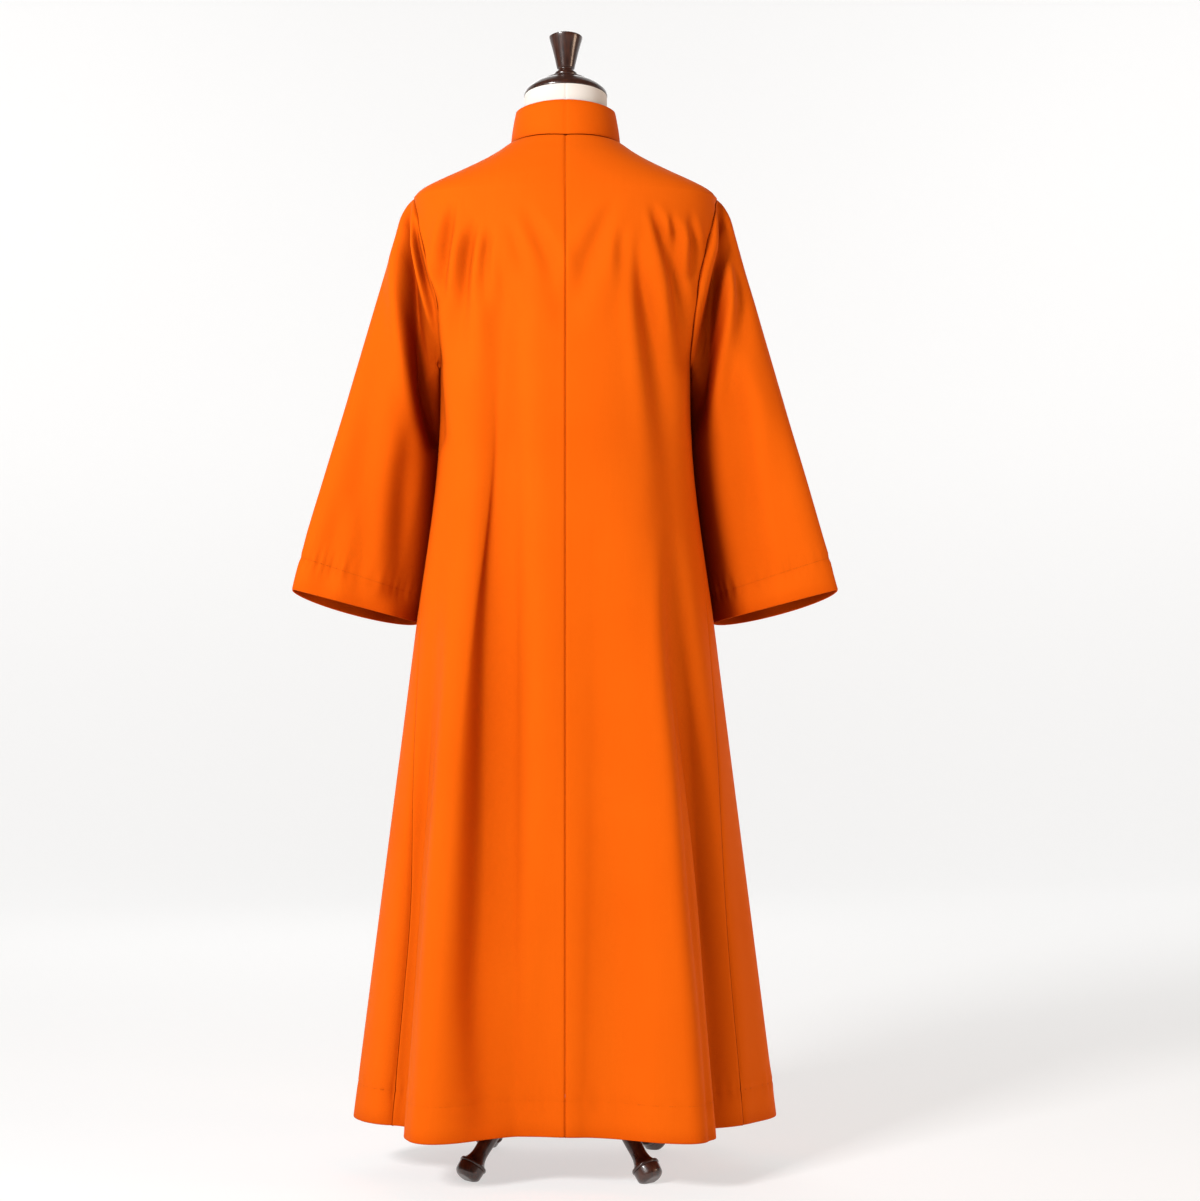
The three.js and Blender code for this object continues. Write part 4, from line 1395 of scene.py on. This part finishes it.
@dataclass
class Panel(ClothSheet):
    """Back or front panel of one side, from the neck seam to the hem."""

    side: Side = Side.LEFT
    facing: Facing = Facing.BACK
    is_over: bool = False
    across: int = 76
    shoulder_steps: int = 24
    armhole_steps: int = 44
    skirt_steps: int = 150
    last_steps: int = 24
    side_gap: float = 0.0008
    centre_gap: float = 0.0001
    seam_step: float = 0.0028
    dip: float = 0.0011
    centre_dip: float = 0.00165
    centre_dip_width: float = 0.0022
    stitching: Puckers = Puckers(HEM_DEPTH, 0.0012)

    def columns(self) -> list[Station]:
        """Shares of the width, from the centre edge to the side seam.

        Returns:
            Stations, the centre edge first.
        """
        allowance = seam_stations(self.side_gap, self.seam_step)
        side = [Station(1 - s.place, s.tuck) for s in reversed(allowance)]
        if self.facing is Facing.BACK:
            centre = seam_stations(self.centre_gap, self.seam_step)
        else:
            centre = [Station(0.0, 0.0004), Station(0.0012), Station(0.004), Station(0.009)]
        first, last = centre[-1].place, side[0].place
        return centre[:-1] + plain_stations(first, last, self.across) + side

    def rows(self) -> list[Station]:
        """Rows from the neck seam allowance down to the turned-up hem.

        Returns:
            Stations, from the top down.
        """
        neck = seam_stations(0.012, inwards=0.06)
        hem = hem_stations(LAST_ROW, 1 / SKIRT_ROW, HEM_DEPTH)
        low = LAST_ROW - 1.0
        shoulder = plain_stations(neck[-1].place, SHOULDER_ROWS, self.shoulder_steps)
        armhole = plain_stations(SHOULDER_ROWS, SKIRT_FROM, self.armhole_steps)
        skirt = plain_stations(SKIRT_FROM, low, self.skirt_steps)
        skirt += plain_stations(low, hem[0].place, self.last_steps)
        return neck[:-1] + shoulder + armhole + skirt + hem

    def bearing_across(self, share: Array, side: Array, half: Array) -> Array:
        """Bearing at a share of the width.

        Args:
            share: From 0 at the centre edge to 1 at the side.
            side: Bearing of the side edge.
            half: Half-width of the body there.

        Returns:
            Bearing on the wearer's left.
        """
        if self.facing is Facing.BACK:
            return side * share
        lap = LAP_REACH / half
        lapped = math.pi + lap * (1 - 2 * share / LAP_SHARE)
        beyond = (share - LAP_SHARE) / (1 - LAP_SHARE)
        return np.where(share <= LAP_SHARE, lapped, math.pi - lap + (side - math.pi + lap) * beyond)

    def place(self, row: Array, column: Array) -> tuple[Array, Array]:
        """Place on the wearer's left of each row and column.

        Args:
            row: Row of each spot.
            column: Its share of the width.

        Returns:
            Bearings and heights.
        """
        facing = np.full_like(row, self.facing.value)
        tip = np.full_like(row, SHOULDER_TIP_Z)
        quarter = np.full_like(row, QUARTER)
        neck_bearing = self.bearing_across(column, quarter, np.full_like(row, NECK_HALF))
        tip_bearing = self.bearing_across(column, quarter, BODY.read("half", tip))
        t = np.clip(row / SHOULDER_ROWS, 0.0, 1.0)
        bearing, z = BODY.shoulder_place(neck_bearing, tip_bearing, t)

        armhole_z = armhole_height(math.pi * self.down_armhole(row))
        skirt_z = UNDERARM_Z - (row - SKIRT_FROM) * SKIRT_ROW
        level_z = np.where(row > SKIRT_FROM, skirt_z, armhole_z)
        seam = np.radians(smooth_table(SIDE_SEAM_Z, SIDE_SEAM_DEGREES, level_z))
        armhole = BODY.armhole_bearing(np.clip(level_z, UNDERARM_Z, SHOULDER_TIP_Z), facing)
        side = np.where(level_z < UNDERARM_Z, seam, armhole)
        level = self.bearing_across(column, side, BODY.read("half", level_z))
        on_shoulder = row < SHOULDER_ROWS
        return np.where(on_shoulder, bearing, level), np.where(on_shoulder, z, level_z)

    @staticmethod
    def down_armhole(row: Array) -> Array:
        """Share of the way down the armhole, held at its ends."""
        return np.clip((row - SHOULDER_ROWS) / ARMHOLE_ROWS, 0.0, 1.0)

    @staticmethod
    def width_at(row: Array) -> Array:
        """About how wide the panel is, for distances from its seams.

        Args:
            row: Row of each spot.

        Returns:
            The width there.
        """
        neck, neck_growth, armhole, flare = 0.13, 0.02, 0.30, 0.005
        below = armhole + flare * (row - SHOULDER_ROWS)
        return np.where(row < SHOULDER_ROWS, neck + neck_growth * row, below)

    def surface(self, row: Array, column: Array) -> tuple[Array, Array]:
        """Body surface with its creases, seam dips and drawn-up hem stitching.

        Args:
            row: Row of each spot.
            column: Its share of the width.

        Returns:
            Points and outward normals.
        """
        bearing, z = self.place(row, column)
        bearing = bearing * self.side.value
        points, normals = BODY.point(bearing, z), BODY.normal(bearing, z)
        out = crease_offsets(points, normals)
        width = self.width_at(row)
        shoulder_row_length, hem_radius, shift = 0.02, 0.27, 0.4
        out -= self.dip * bump_at((1 - column) * width, SEAM_DIP_WIDTH)
        out -= self.dip * bump_at(row * shoulder_row_length, SEAM_DIP_WIDTH)
        if self.facing is Facing.BACK:
            out -= self.centre_dip * bump_at(column * width, self.centre_dip_width)
        if self.is_over:
            out += LAP_LIFT * (1 - smooth_rise(column, LAP_SHARE, 2 * LAP_SHARE))
        out += self.stitching.offset(bearing * hem_radius + shift * self.facing.value, z - HEM_Z)
        return points + normals * out[:, None], normals

    def tuck_direction(self, row: Array, column: Array, normals: Array) -> Array:
        """Shared with the sleeve along the armhole, and into the body elsewhere.

        Args:
            row: Row of each spot.
            column: Its share of the width.
            normals: Its outward normal.

        Returns:
            Unit directions.
        """
        first_ring, edge = 0.05, 0.97
        down = self.down_armhole(row)
        turn = math.pi * down * self.facing.value
        sleeve = SLEEVE.normal(np.full_like(row, first_ring), turn) * self.side.flip()
        by_armhole = (down > 0.01) & (down < 0.99) & (column > edge)
        return -unit(normals + sleeve * by_armhole[:, None])

    def edge_wear(self, row: Array, column: Array) -> Array:
        """Wear along the hem."""
        return bump_at((LAST_ROW - row) * SKIRT_ROW, self.wear_height)


# ------------------------------------------------------------------ collar


@dataclass
class Collar(ClothSheet):
    """Stand collar, folded double along its top edge, its ends meeting at centre front."""

    top_half: float = 0.0726
    top_depth: float = 0.0675
    top_forward: float = 0.004
    back_z: float = 1.5297
    side_z: float = 1.5244
    front_z: float = 1.488
    height: float = 0.05
    around: int = 168
    end_gap: float = 0.008
    double: float = 0.0024
    corner: float = 0.010
    corner_length: float = 0.012
    fold_from: float = 0.975
    swell: float = 0.0008
    turn_step: float = 0.01

    def columns(self) -> list[Station]:
        """Bearings once round, from one end at centre front to the other."""
        end = math.pi - self.end_gap
        return plain_stations(-end, end, self.around) + [Station(end)]

    def rows(self) -> list[Station]:
        """Shares of the height: up the outside, over the top edge and down inside.

        Returns:
            Stations, the raw lower edge first.
        """
        start, edge, gap = seam_stations(0.008, inwards=0.02), self.fold_from, self.double
        outside = start[:-1] + plain_stations(start[-1].place, edge, 12)
        bend = [Station(edge), Station(0.992, 0.0001), Station(0.999, 0.0004), Station(1.0, gap / 2)]
        bend += [Station(0.999, gap - 0.0004), Station(0.992, gap - 0.0001), Station(edge, gap)]
        inside_depth, steps = 0.9, 8
        inside = [Station(edge - inside_depth * i / steps, gap) for i in range(1, steps + 1)]
        return outside + bend + inside

    def bare_point(self, bearing: Array, t: Array) -> Array:
        """Point of the collar's outer face without its seam dip.

        Args:
            bearing: Angle round the neck.
            t: Share of the height.

        Returns:
            One point for each spot.
        """
        along = np.cos(bearing)
        base_x, base_y = neck_plan(bearing)
        base = np.stack([base_x, base_y, BODY.shoulder_height(base_x, base_y)], axis=-1)
        end_z = np.where(along >= 0, self.back_z, self.front_z)
        top_z = self.side_z + (end_z - self.side_z) * along**2
        from_end = (math.pi - np.abs(bearing)) * self.top_half
        top_z = top_z - self.corner * (1 - smooth_rise(from_end, 0.0, self.corner_length)) ** 2
        top_x, top_y = self.top_half * np.sin(bearing), self.top_depth * along - self.top_forward
        top = np.stack([top_x, top_y, top_z], axis=-1)
        return base + (top - base) * t[:, None]

    def surface(self, row: Array, column: Array) -> tuple[Array, Array]:
        """Collar surface, dipped along the neck seam and the centre-back seam.

        Args:
            row: Share of the height of each spot.
            column: Its bearing.

        Returns:
            Points and outward normals.
        """
        turn, ones = self.turn_step, np.ones_like(row)
        points = self.bare_point(column, row)
        along = self.bare_point(column + turn, row) - self.bare_point(column - turn, row)
        up = self.bare_point(column, ones) - self.bare_point(column, 0 * ones)
        normals = unit(np.cross(up, along))
        neck_dip, neck_dip_width, back_dip, back_dip_width = 0.0005, 0.002, 0.0008, 0.0018
        out = self.swell * np.sin(math.pi * np.clip(row, 0, 1))
        out -= neck_dip * bump_at(row * self.height, neck_dip_width)
        out -= back_dip * bump_at(column * NECK_HALF, back_dip_width)
        return points + normals * out[:, None], normals

    def tuck_direction(self, row: Array, column: Array, normals: Array) -> Array:
        """Between the collar and the body at the neck seam, and into the neck elsewhere.

        Args:
            row: Share of the height of each spot.
            column: Its bearing.
            normals: Its outward normal.

        Returns:
            Unit directions.
        """
        x, y = neck_plan(column)
        z, shared_to = BODY.shoulder_height(x, y), 0.06
        body = BODY.normal(BODY.bearing_of(x, y, z), z)
        share = (1 - smooth_rise(row, 0.0, shared_to))[:, None]
        return -unit(normals + body * share)

    def edge_wear(self, row: Array, column: Array) -> Array:
        """Wear along the top edge."""
        return bump_at((1 - row) * self.height, self.wear_height / 3)


# ------------------------------------------------------------------ stitching


@dataclass
class StitchRow:
    """Row of topstitching on a sheet: small flattened stitches laid end to end."""

    name: str
    sheet: ClothSheet
    row: float
    first: float
    last: float
    length: float = 0.0027
    pitch: float = 0.0034
    thread: float = 0.00028
    flatness: float = 0.8
    lift: float = 0.35
    samples: int = 800

    @staticmethod
    def read(place: float, run: Array, table: Array) -> Vector:
        """Row of a table at a distance along the stitches."""
        return Vector([np.interp(place, run, column) for column in table.T])

    def build(self, material: bpy.types.Material) -> bpy.types.Object:
        """Lay the stitches along the row.

        Args:
            material: The thread.

        Returns:
            The finished piece.
        """
        fine = np.linspace(self.first, self.last, self.samples)
        points, normals = self.sheet.surface(np.full_like(fine, self.row), fine)
        run = np.concatenate(([0.0], np.cumsum(np.linalg.norm(np.diff(points, axis=0), axis=-1))))
        count = int(run[-1] / self.pitch)
        bm = bmesh.new()
        for i in range(count):
            middle = (i + 0.5) * self.pitch
            here = self.read(middle, run, points)
            ahead = self.read(middle + self.length / 2, run, points)
            up = self.read(middle, run, normals).normalized()
            along = (ahead - here).normalized()
            turn = Matrix((along, up.cross(along), up)).transposed().to_4x4()
            size = Matrix.Diagonal((self.length / 2, self.thread, self.thread * self.flatness, 1.0))
            matrix = Matrix.Translation(here + up * self.thread * self.lift) @ turn @ size
            bmesh.ops.create_uvsphere(bm, u_segments=6, v_segments=4, radius=1.0, matrix=matrix)
        bmesh.ops.recalc_face_normals(bm, faces=bm.faces)
        log.info("%s: %d stitches", self.name, count)
        return finished(bm, self.name, None, material)


# ------------------------------------------------------------------ dress form and stand


@dataclass(frozen=True)
class Turning:
    """Corner or smooth point of a turned profile."""

    radius: float
    height: float
    sharp: bool = False


def turnings(*rows: tuple[float, ...]) -> tuple[Turning, ...]:
    """Profile from rows of radius and height, with a third value of True at a corner."""
    return tuple(Turning(*row) for row in rows)


@dataclass
class TurnedWood:
    """Turned piece of wood, spun about its own axis and set in place."""

    name: str
    profile: tuple[Turning, ...]
    place: Matrix
    steps: int = 64
    parts: int = 6
    sharp_angle: float = math.radians(38)
    is_cut_by_floor: bool = False

    def outline(self) -> list[Vector]:
        """The profile with its smooth stretches rounded.

        Returns:
            Points in the XZ plane, the lower end first.
        """
        last = len(self.profile) - 1
        corners = [i for i, point in enumerate(self.profile) if point.sharp or i in (0, last)]
        points = [Vector((self.profile[0].radius, 0.0, self.profile[0].height))]
        for start, end in zip(corners, corners[1:]):
            stretch = self.profile[start:end + 1]
            steps = end - start
            parts = self.parts if steps > 1 else 1
            keys, fine = np.arange(steps + 1, dtype=float), np.linspace(0, steps, steps * parts + 1)[1:]
            radii = smooth_table(keys, column_of(stretch, "radius"), fine)
            heights = smooth_table(keys, column_of(stretch, "height"), fine)
            points += [Vector((radius, 0.0, height)) for radius, height in zip(radii, heights)]
        return points

    def build(self, material: bpy.types.Material) -> bpy.types.Object:
        """Spin the profile.

        Args:
            material: The wood.

        Returns:
            The finished piece.
        """
        bm = bmesh.new()
        verts = [bm.verts.new(point) for point in self.outline()]
        edges = [bm.edges.new(pair) for pair in zip(verts, verts[1:])]
        bmesh.ops.spin(bm, geom=verts + edges, cent=(0, 0, 0), axis=(0, 0, 1), angle=2 * math.pi,
                       steps=self.steps, use_merge=True)
        bmesh.ops.remove_doubles(bm, verts=bm.verts, dist=SAME_SPOT)
        bmesh.ops.transform(bm, matrix=self.place, verts=bm.verts)
        if self.is_cut_by_floor:
            everything = bm.verts[:] + bm.edges[:] + bm.faces[:]
            bmesh.ops.bisect_plane(bm, geom=everything, plane_co=(0, 0, 0), plane_no=(0, 0, 1),
                                   clear_inner=True)
            rim = [edge for edge in bm.edges if edge.is_boundary]
            bmesh.ops.edgeloop_fill(bm, edges=rim)
        bmesh.ops.recalc_face_normals(bm, faces=bm.faces)
        piece = finished(bm, f"turned_{self.name}", self.name, material)
        piece.data.set_sharp_from_angle(angle=self.sharp_angle)
        log.info("turned_%s: %d faces", self.name, len(piece.data.polygons))
        return piece


TORSO_SECTIONS = (
    Section(0.790, 0.120, 0.074, 0.074),
    Section(0.797, 0.142, 0.090, 0.090),
    Section(0.815, 0.154, 0.099, 0.098),
    Section(0.870, 0.158, 0.102, 0.100),
    Section(0.950, 0.146, 0.097, 0.092),
    Section(1.040, 0.124, 0.088, 0.088),
    Section(1.120, 0.132, 0.094, 0.098),
    Section(1.220, 0.147, 0.103, 0.106),
    Section(1.300, 0.158, 0.106, 0.102),
    Section(1.360, 0.170, 0.102, 0.092),
    Section(1.395, 0.180, 0.096, 0.082),
)
TORSO_SHOULDER_LEVELS = (1.408, 1.418, 1.424, 1.431, 1.439, 1.447, 1.456, 1.464)
TORSO_SHOULDER_HALF = 0.184
TORSO_SHOULDER_NARROWING = 0.25
TORSO_CLEAR = 0.008
REST_DROP = 0.0027
NECK_Z = np.array([1.405, 1.452, 1.476, 1.500, 1.5472])
NECK_RADIUS = np.array([0.070, 0.066, 0.062, 0.0606, 0.0604])
NECK_TILT = math.radians(6)
NECK_TILT_FROM_Z = 1.500


def shoulder_sections() -> tuple[Section, ...]:
    """Sections of the form's shoulders, a little inside the cloth that rests on them.

    Returns:
        Sections, from the lowest up.
    """
    rows = []
    for z in TORSO_SHOULDER_LEVELS:
        level = np.array([z + REST_DROP])
        half, back, front = (float(BODY.read(name, level)[0]) for name in ("half", "back", "front"))
        narrowing = (z - TORSO_SHOULDER_LEVELS[0]) * TORSO_SHOULDER_NARROWING
        width = min(half, TORSO_SHOULDER_HALF - narrowing)
        rows.append(Section(z, width, back - TORSO_CLEAR, max(front - TORSO_CLEAR, front / 2)))
    return tuple(rows)


@dataclass
class FormCover:
    """Covered torso and neck of the form: one closed skin round the axis."""

    around: int = 120
    beside_seam: tuple[float, ...] = (0.0, 0.012, 0.024, 0.036, 0.05, 0.066)
    rest_from: float = 0.09
    low_end: float = 0.815
    low_rings: int = 8
    body_span: Pair = (0.82, 1.395)
    top_from: float = 1.398
    rings: int = 60
    power: float = 2.2
    torso_fall: float = 9.0
    neck_fall: float = 2.0
    seam_depth: float = 0.0007
    seam_width: float = 0.0016
    blend: float = 0.0025
    sharp_angle: float = math.radians(50)

    def reach(self, turn: Array, z: Array) -> Array:
        """Distance of the skin from the axis.

        Args:
            turn: Bearing.
            z: Height.

        Returns:
            The larger of the torso's and the neck's reach, softly joined.
        """
        torso_shape = BodySurface(TORSO_SECTIONS + shoulder_sections())
        across, along, power = np.sin(turn), np.cos(turn), self.power
        half, depth = torso_shape.read("half", z), torso_shape.depth_towards(along, z)
        torso = (np.abs(across / half) ** power + np.abs(along / depth) ** power) ** (-1 / power)
        torso = torso - np.clip(z - torso_shape.sections[-1].z, 0.0, None) * self.torso_fall
        neck = smooth_table(NECK_Z, NECK_RADIUS, z) - np.clip(NECK_Z[0] - z, 0.0, None) * self.neck_fall
        gap = torso - neck
        return (torso + neck + np.sqrt(gap**2 + self.blend**2)) / 2

    def levels(self) -> Array:
        """Heights of the rings.

        Returns:
            Heights from the bottom up, with a pole at both ends.
        """
        low = np.linspace(TORSO_SECTIONS[0].z, self.low_end, self.low_rings)
        body = np.linspace(*self.body_span, self.rings)
        top = np.linspace(self.top_from, NECK_Z[-1], self.rings)
        return np.concatenate((low[:1], low, body, top, top[-1:]))

    def build(self, material: bpy.types.Material) -> bpy.types.Object:
        """Wrap a grid round the axis and close it at both ends.

        Args:
            material: The cover.

        Returns:
            The finished piece.
        """
        levels = self.levels()
        near = np.array(self.beside_seam)
        rest = np.linspace(self.rest_from, 2 * math.pi - self.rest_from, self.around)
        turns = np.concatenate((near, rest, 2 * math.pi - near[::-1]))
        bm, turn_at, ring = grid_of(len(turns), len(levels))
        turn, z = turns[turn_at], levels[ring]
        reach = self.reach(turn, z)
        from_seam = np.abs(np.arctan2(np.sin(turn), np.cos(turn))) * reach
        reach = reach - self.seam_depth * bump_at(from_seam, self.seam_width)
        reach = np.where((ring == 0) | (ring == len(levels) - 1), 0.0, reach)
        y = reach * np.cos(turn)
        lean = np.clip((z - NECK_TILT_FROM_Z) / (NECK_Z[-1] - NECK_TILT_FROM_Z), 0.0, 1.0)
        placed = np.stack([reach * np.sin(turn), y, z + y * math.tan(NECK_TILT) * lean], axis=-1)
        lay(bm, placed)
        bmesh.ops.remove_doubles(bm, verts=bm.verts, dist=SAME_SPOT)
        bmesh.ops.recalc_face_normals(bm, faces=bm.faces)
        piece = finished(bm, "form_cover", "form_torso", material)
        piece.data.set_sharp_from_angle(angle=self.sharp_angle)
        log.info("form_cover: %d faces", len(piece.data.polygons))
        return piece


@dataclass
class Stand:
    """Wooden cap, finial, pole, hub and four splayed legs."""

    foot_radius: float = 0.184
    leg_top_radius: float = 0.014
    leg_top_z: float = 0.196
    leg_tip_radius: float = 0.009
    foot_sink: float = 0.0012
    turn: float = math.radians(4)
    gap: float = 0.0003
    cap_height: float = 0.028
    hub_top: float = 0.232
    pole_radius: float = 0.0125
    pole_edge: float = 0.0008
    leg_count: int = 4
    leg_steps: int = 40

    def cap(self) -> TurnedWood:
        """Domed neck cap with its flange.

        Returns:
            The piece.
        """
        profile = turnings(
            (0, 0), (0.0594, 0, True), (0.0609, 0.0006), (0.0610, 0.0018, True),
            (0.0598, 0.0056), (0.0555, 0.0106), (0.049, 0.0158), (0.040, 0.0204),
            (0.034, 0.0228, True), (0.0325, 0.025), (0.026, 0.0276, True),
            (0, self.cap_height),
        )
        return TurnedWood("neck_cap", profile, self.head())

    def finial(self) -> TurnedWood:
        """Finial: a ball, a narrow neck and a flared cone with a domed top.

        Returns:
            The piece.
        """
        profile = turnings(
            (0, 0), (0.0135, 0, True), (0.0168, 0.002), (0.0177, 0.0046),
            (0.0162, 0.008), (0.0122, 0.011, True), (0.0115, 0.0132),
            (0.0129, 0.0154, True), (0.0134, 0.0175), (0.0185, 0.0397),
            (0.0244, 0.0612, True), (0.0245, 0.0626, True), (0.0234, 0.0637, True),
            (0.0125, 0.0686), (0, 0.0699),
        )
        on_cap = Matrix.Translation((0, 0, self.cap_height + self.gap))
        return TurnedWood("finial", profile, self.head() @ on_cap)

    def head(self) -> Matrix:
        """Place of the tilted top of the neck."""
        top = float(NECK_Z[-1]) + self.gap
        return Matrix.Translation((0, 0, top)) @ Matrix.Rotation(NECK_TILT, 4, "X")

    def pole(self) -> TurnedWood:
        """Pole from the hub to the form.

        Returns:
            The piece.
        """
        low, high = self.hub_top + self.gap, TORSO_SECTIONS[0].z - self.gap
        radius, edge = self.pole_radius, self.pole_edge
        profile = turnings(
            (0, low), (radius - edge, low, True), (radius, low + edge, True),
            (radius, high - edge, True), (radius - edge, high, True), (0, high),
        )
        return TurnedWood("pole", profile, Matrix.Identity(4))

    def hub(self) -> TurnedWood:
        """Turned hub that the legs meet.

        Returns:
            The piece.
        """
        profile = turnings(
            (0, 0.150), (0.018, 0.150, True), (0.020, 0.1505), (0.027, 0.158),
            (0.030, 0.172, True), (0.030, 0.214, True), (0.024, 0.226),
            (0.017, self.hub_top, True), (0, self.hub_top),
        )
        return TurnedWood("hub", profile, Matrix.Identity(4))

    def leg(self, index: int) -> TurnedWood:
        """Splayed leg with a ring and a rounded tip, cut flat by the floor.

        Args:
            index: Number of the leg, from 0.

        Returns:
            The piece.
        """
        profile = turnings(
            (0, 0), (0.0095, 0), (0.0155, 0.0025), (0.0184, 0.0075),
            (0.0190, 0.018), (0.0183, 0.019, True), (0.0196, 0.0197),
            (0.0202, 0.0217), (0.0196, 0.0235, True), (0.0165, 0.025, True),
            (0.0128, 0.032), (0.011, 0.044), (0.0125, 0.090), (0.0145, 0.170),
            (0.0145, 0.236, True), (0, 0.236),
        )
        lean = math.atan2(self.foot_radius - self.leg_top_radius, self.leg_top_z)
        lift = self.leg_tip_radius * math.sin(lean) - self.foot_sink
        turn = Matrix.Rotation(index * QUARTER - QUARTER / 2 - self.turn, 4, "Z")
        place = turn @ Matrix.Translation((0, self.foot_radius, lift)) @ Matrix.Rotation(lean, 4, "X")
        return TurnedWood(f"leg_{index + 1}", profile, place, self.leg_steps, is_cut_by_floor=True)

    def pieces(self) -> list[TurnedWood]:
        """All the turned pieces."""
        legs = [self.leg(index) for index in range(self.leg_count)]
        return [self.cap(), self.finial(), self.pole(), self.hub(), *legs]


# ------------------------------------------------------------------ cassock


@dataclass
class Cassock:
    """The garment: four panels, two sleeves, a collar and its topstitching."""

    cloth: bpy.types.Material
    thread: bpy.types.Material
    hem_inset: float = 0.004
    cuff_inset: float = 0.02
    sheets: list[ClothSheet] = field(default_factory=list)

    def make_sheets(self) -> None:
        """Build every sheet of cloth."""
        for side in Side:
            tag = side.name.lower()
            self.sheets += [
                Panel(f"back_{tag}", flat=(0.42, 1.50), area=0.48, side=side),
                Panel(f"front_{tag}", flat=(0.60, 1.50), area=0.62, side=side, facing=Facing.FRONT,
                      is_over=side is Side.LEFT),
                Sleeve(f"sleeve_{tag}", flat=(0.48, 0.74), area=0.28, side=side),
            ]
        self.sheets.append(Collar("collar", flat=(0.47, 0.12), area=0.05))
        for sheet in self.sheets:
            sheet.build(self.cloth)

    def make_stitching(self) -> None:
        """Topstitch the hem and the cuffs."""
        hem_row = LAST_ROW - HEM_DEPTH / SKIRT_ROW
        cuff_row = LAST_RING - CUFF_HEM_DEPTH / RING_LENGTH
        hem_ends = (self.hem_inset, 1 - self.hem_inset)
        cuff_ends = (math.pi + self.cuff_inset, 3 * math.pi - self.cuff_inset)
        for sheet in self.sheets:
            if isinstance(sheet, Panel):
                StitchRow(f"hem_stitches_{sheet.name}", sheet, hem_row, *hem_ends).build(self.thread)
            if isinstance(sheet, Sleeve):
                StitchRow(f"cuff_stitches_{sheet.name}", sheet, cuff_row, *cuff_ends).build(self.thread)


# ------------------------------------------------------------------ studio


@dataclass(frozen=True)
class SoftBox:
    """Square soft light, aimed at a point."""

    name: str
    place: Triple
    aim: Triple
    size: float
    power: float
    colour: Colour = (1.0, 1.0, 1.0)

    def build(self) -> None:
        """Hang the light."""
        data = bpy.data.lights.new(self.name, "AREA")
        data.shape = "SQUARE"
        data.size = self.size
        data.energy = self.power
        data.color = self.colour
        light = bpy.data.objects.new(self.name, data)
        light.location = self.place
        light.rotation_euler = (Vector(self.aim) - Vector(self.place)).to_track_quat("-Z", "Y").to_euler()
        bpy.context.scene.collection.objects.link(light)


@dataclass(frozen=True)
class Studio:
    """Pale floor that curves up behind, soft lights and the camera."""

    camera_place: Triple = (0.0, 3.5, 0.692)
    camera_aim: Triple = (-0.0502, 0.0, 0.8118)
    lens: float = 72.33
    sensor: float = 36.0
    paper: Colour = (0.41, 0.41, 0.412)
    paper_light: Colour = (1.0, 0.995, 0.985)
    paper_glow: float = 0.60
    sweep_half: float = 16.0
    sweep_back: float = -4.5
    sweep_radius: float = 1.6
    sweep_segments: int = 160
    air: Colour = (0.955, 0.95, 0.94)
    air_strength: float = 0.06
    boxes: tuple[SoftBox, ...] = (
        SoftBox("key", (2.4, 3.1, 2.9), (-0.05, 0.1, 0.80), 1.0, 214.0),
        SoftBox("fill", (-3.5, 1.2, 1.4), (0.0, 0.0, 0.8), 1.1, 36.0, (1.0, 0.70, 0.50)),
        SoftBox("front fill", (0.6, -3.2, 2.4), (0.0, 0.0, 0.9), 2.2, 20.0),
        SoftBox("wall left", (2.9, -3.2, 3.2), (2.0, -6.4, 1.6), 1.5, 40.0),
        SoftBox("wall right", (-2.9, -3.2, 3.2), (-2.0, -6.4, 1.6), 1.5, 40.0),
    )

    def build(self) -> None:
        """Set up the floor, the air, the lights and the camera."""
        self.make_floor()
        world = bpy.data.worlds.new("studio air")
        world.use_nodes = True
        air = world.node_tree.nodes["Background"]
        air.inputs["Color"].default_value = (*self.air, 1.0)
        air.inputs["Strength"].default_value = self.air_strength
        bpy.context.scene.world = world
        for box in self.boxes:
            box.build()
        self.make_camera()
        bpy.context.scene.view_settings.view_transform = "Standard"

    def make_floor(self) -> None:
        """Lay the sweep of paper."""
        back, radius = self.sweep_back, self.sweep_radius
        bm = bmesh.new()
        bmesh.ops.create_grid(bm, x_segments=1, y_segments=self.sweep_segments, size=self.sweep_half)
        for vert in bm.verts:
            past = back - vert.co.y
            if past > 0:
                angle = min(past / radius, QUARTER)
                climb = max(0.0, past - radius * QUARTER)
                vert.co.y = back - radius * math.sin(angle)
                vert.co.z = radius * (1 - math.cos(angle)) + climb
        mesh = bpy.data.meshes.new("paper sweep")
        bm.to_mesh(mesh)
        bm.free()
        mesh.shade_smooth()
        bench = NodeBench("studio paper")
        bench.constants(Base_Color=self.paper, Roughness=0.95, Specular_IOR_Level=0.1,
                        Emission_Color=self.paper_light, Emission_Strength=self.paper_glow)
        mesh.materials.append(bench.material)
        floor = bpy.data.objects.new("paper_sweep", mesh)
        bpy.context.scene.collection.objects.link(floor)

    def make_camera(self) -> None:
        """Stand the camera behind the wearer."""
        data = bpy.data.cameras.new("camera")
        data.lens = self.lens
        data.sensor_width = self.sensor
        camera = bpy.data.objects.new("camera", data)
        camera.location = self.camera_place
        look = Vector(self.camera_aim) - Vector(self.camera_place)
        camera.rotation_euler = look.to_track_quat("-Z", "Y").to_euler()
        bpy.context.scene.collection.objects.link(camera)
        bpy.context.scene.camera = camera


def main() -> None:
    """Build and dress the whole object."""
    logging.basicConfig(level=logging.INFO, format="%(message)s", stream=sys.stdout)
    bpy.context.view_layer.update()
    Studio().build()
    cassock = Cassock(ClothFinish().material(), THREAD_FINISH.material())
    cassock.make_sheets()
    cassock.make_stitching()
    FormCover().build(CoverFinish().material())
    wood = WoodFinish().material()
    for piece in Stand().pieces():
        piece.build(wood)


if __name__ == "__main__":
    main()
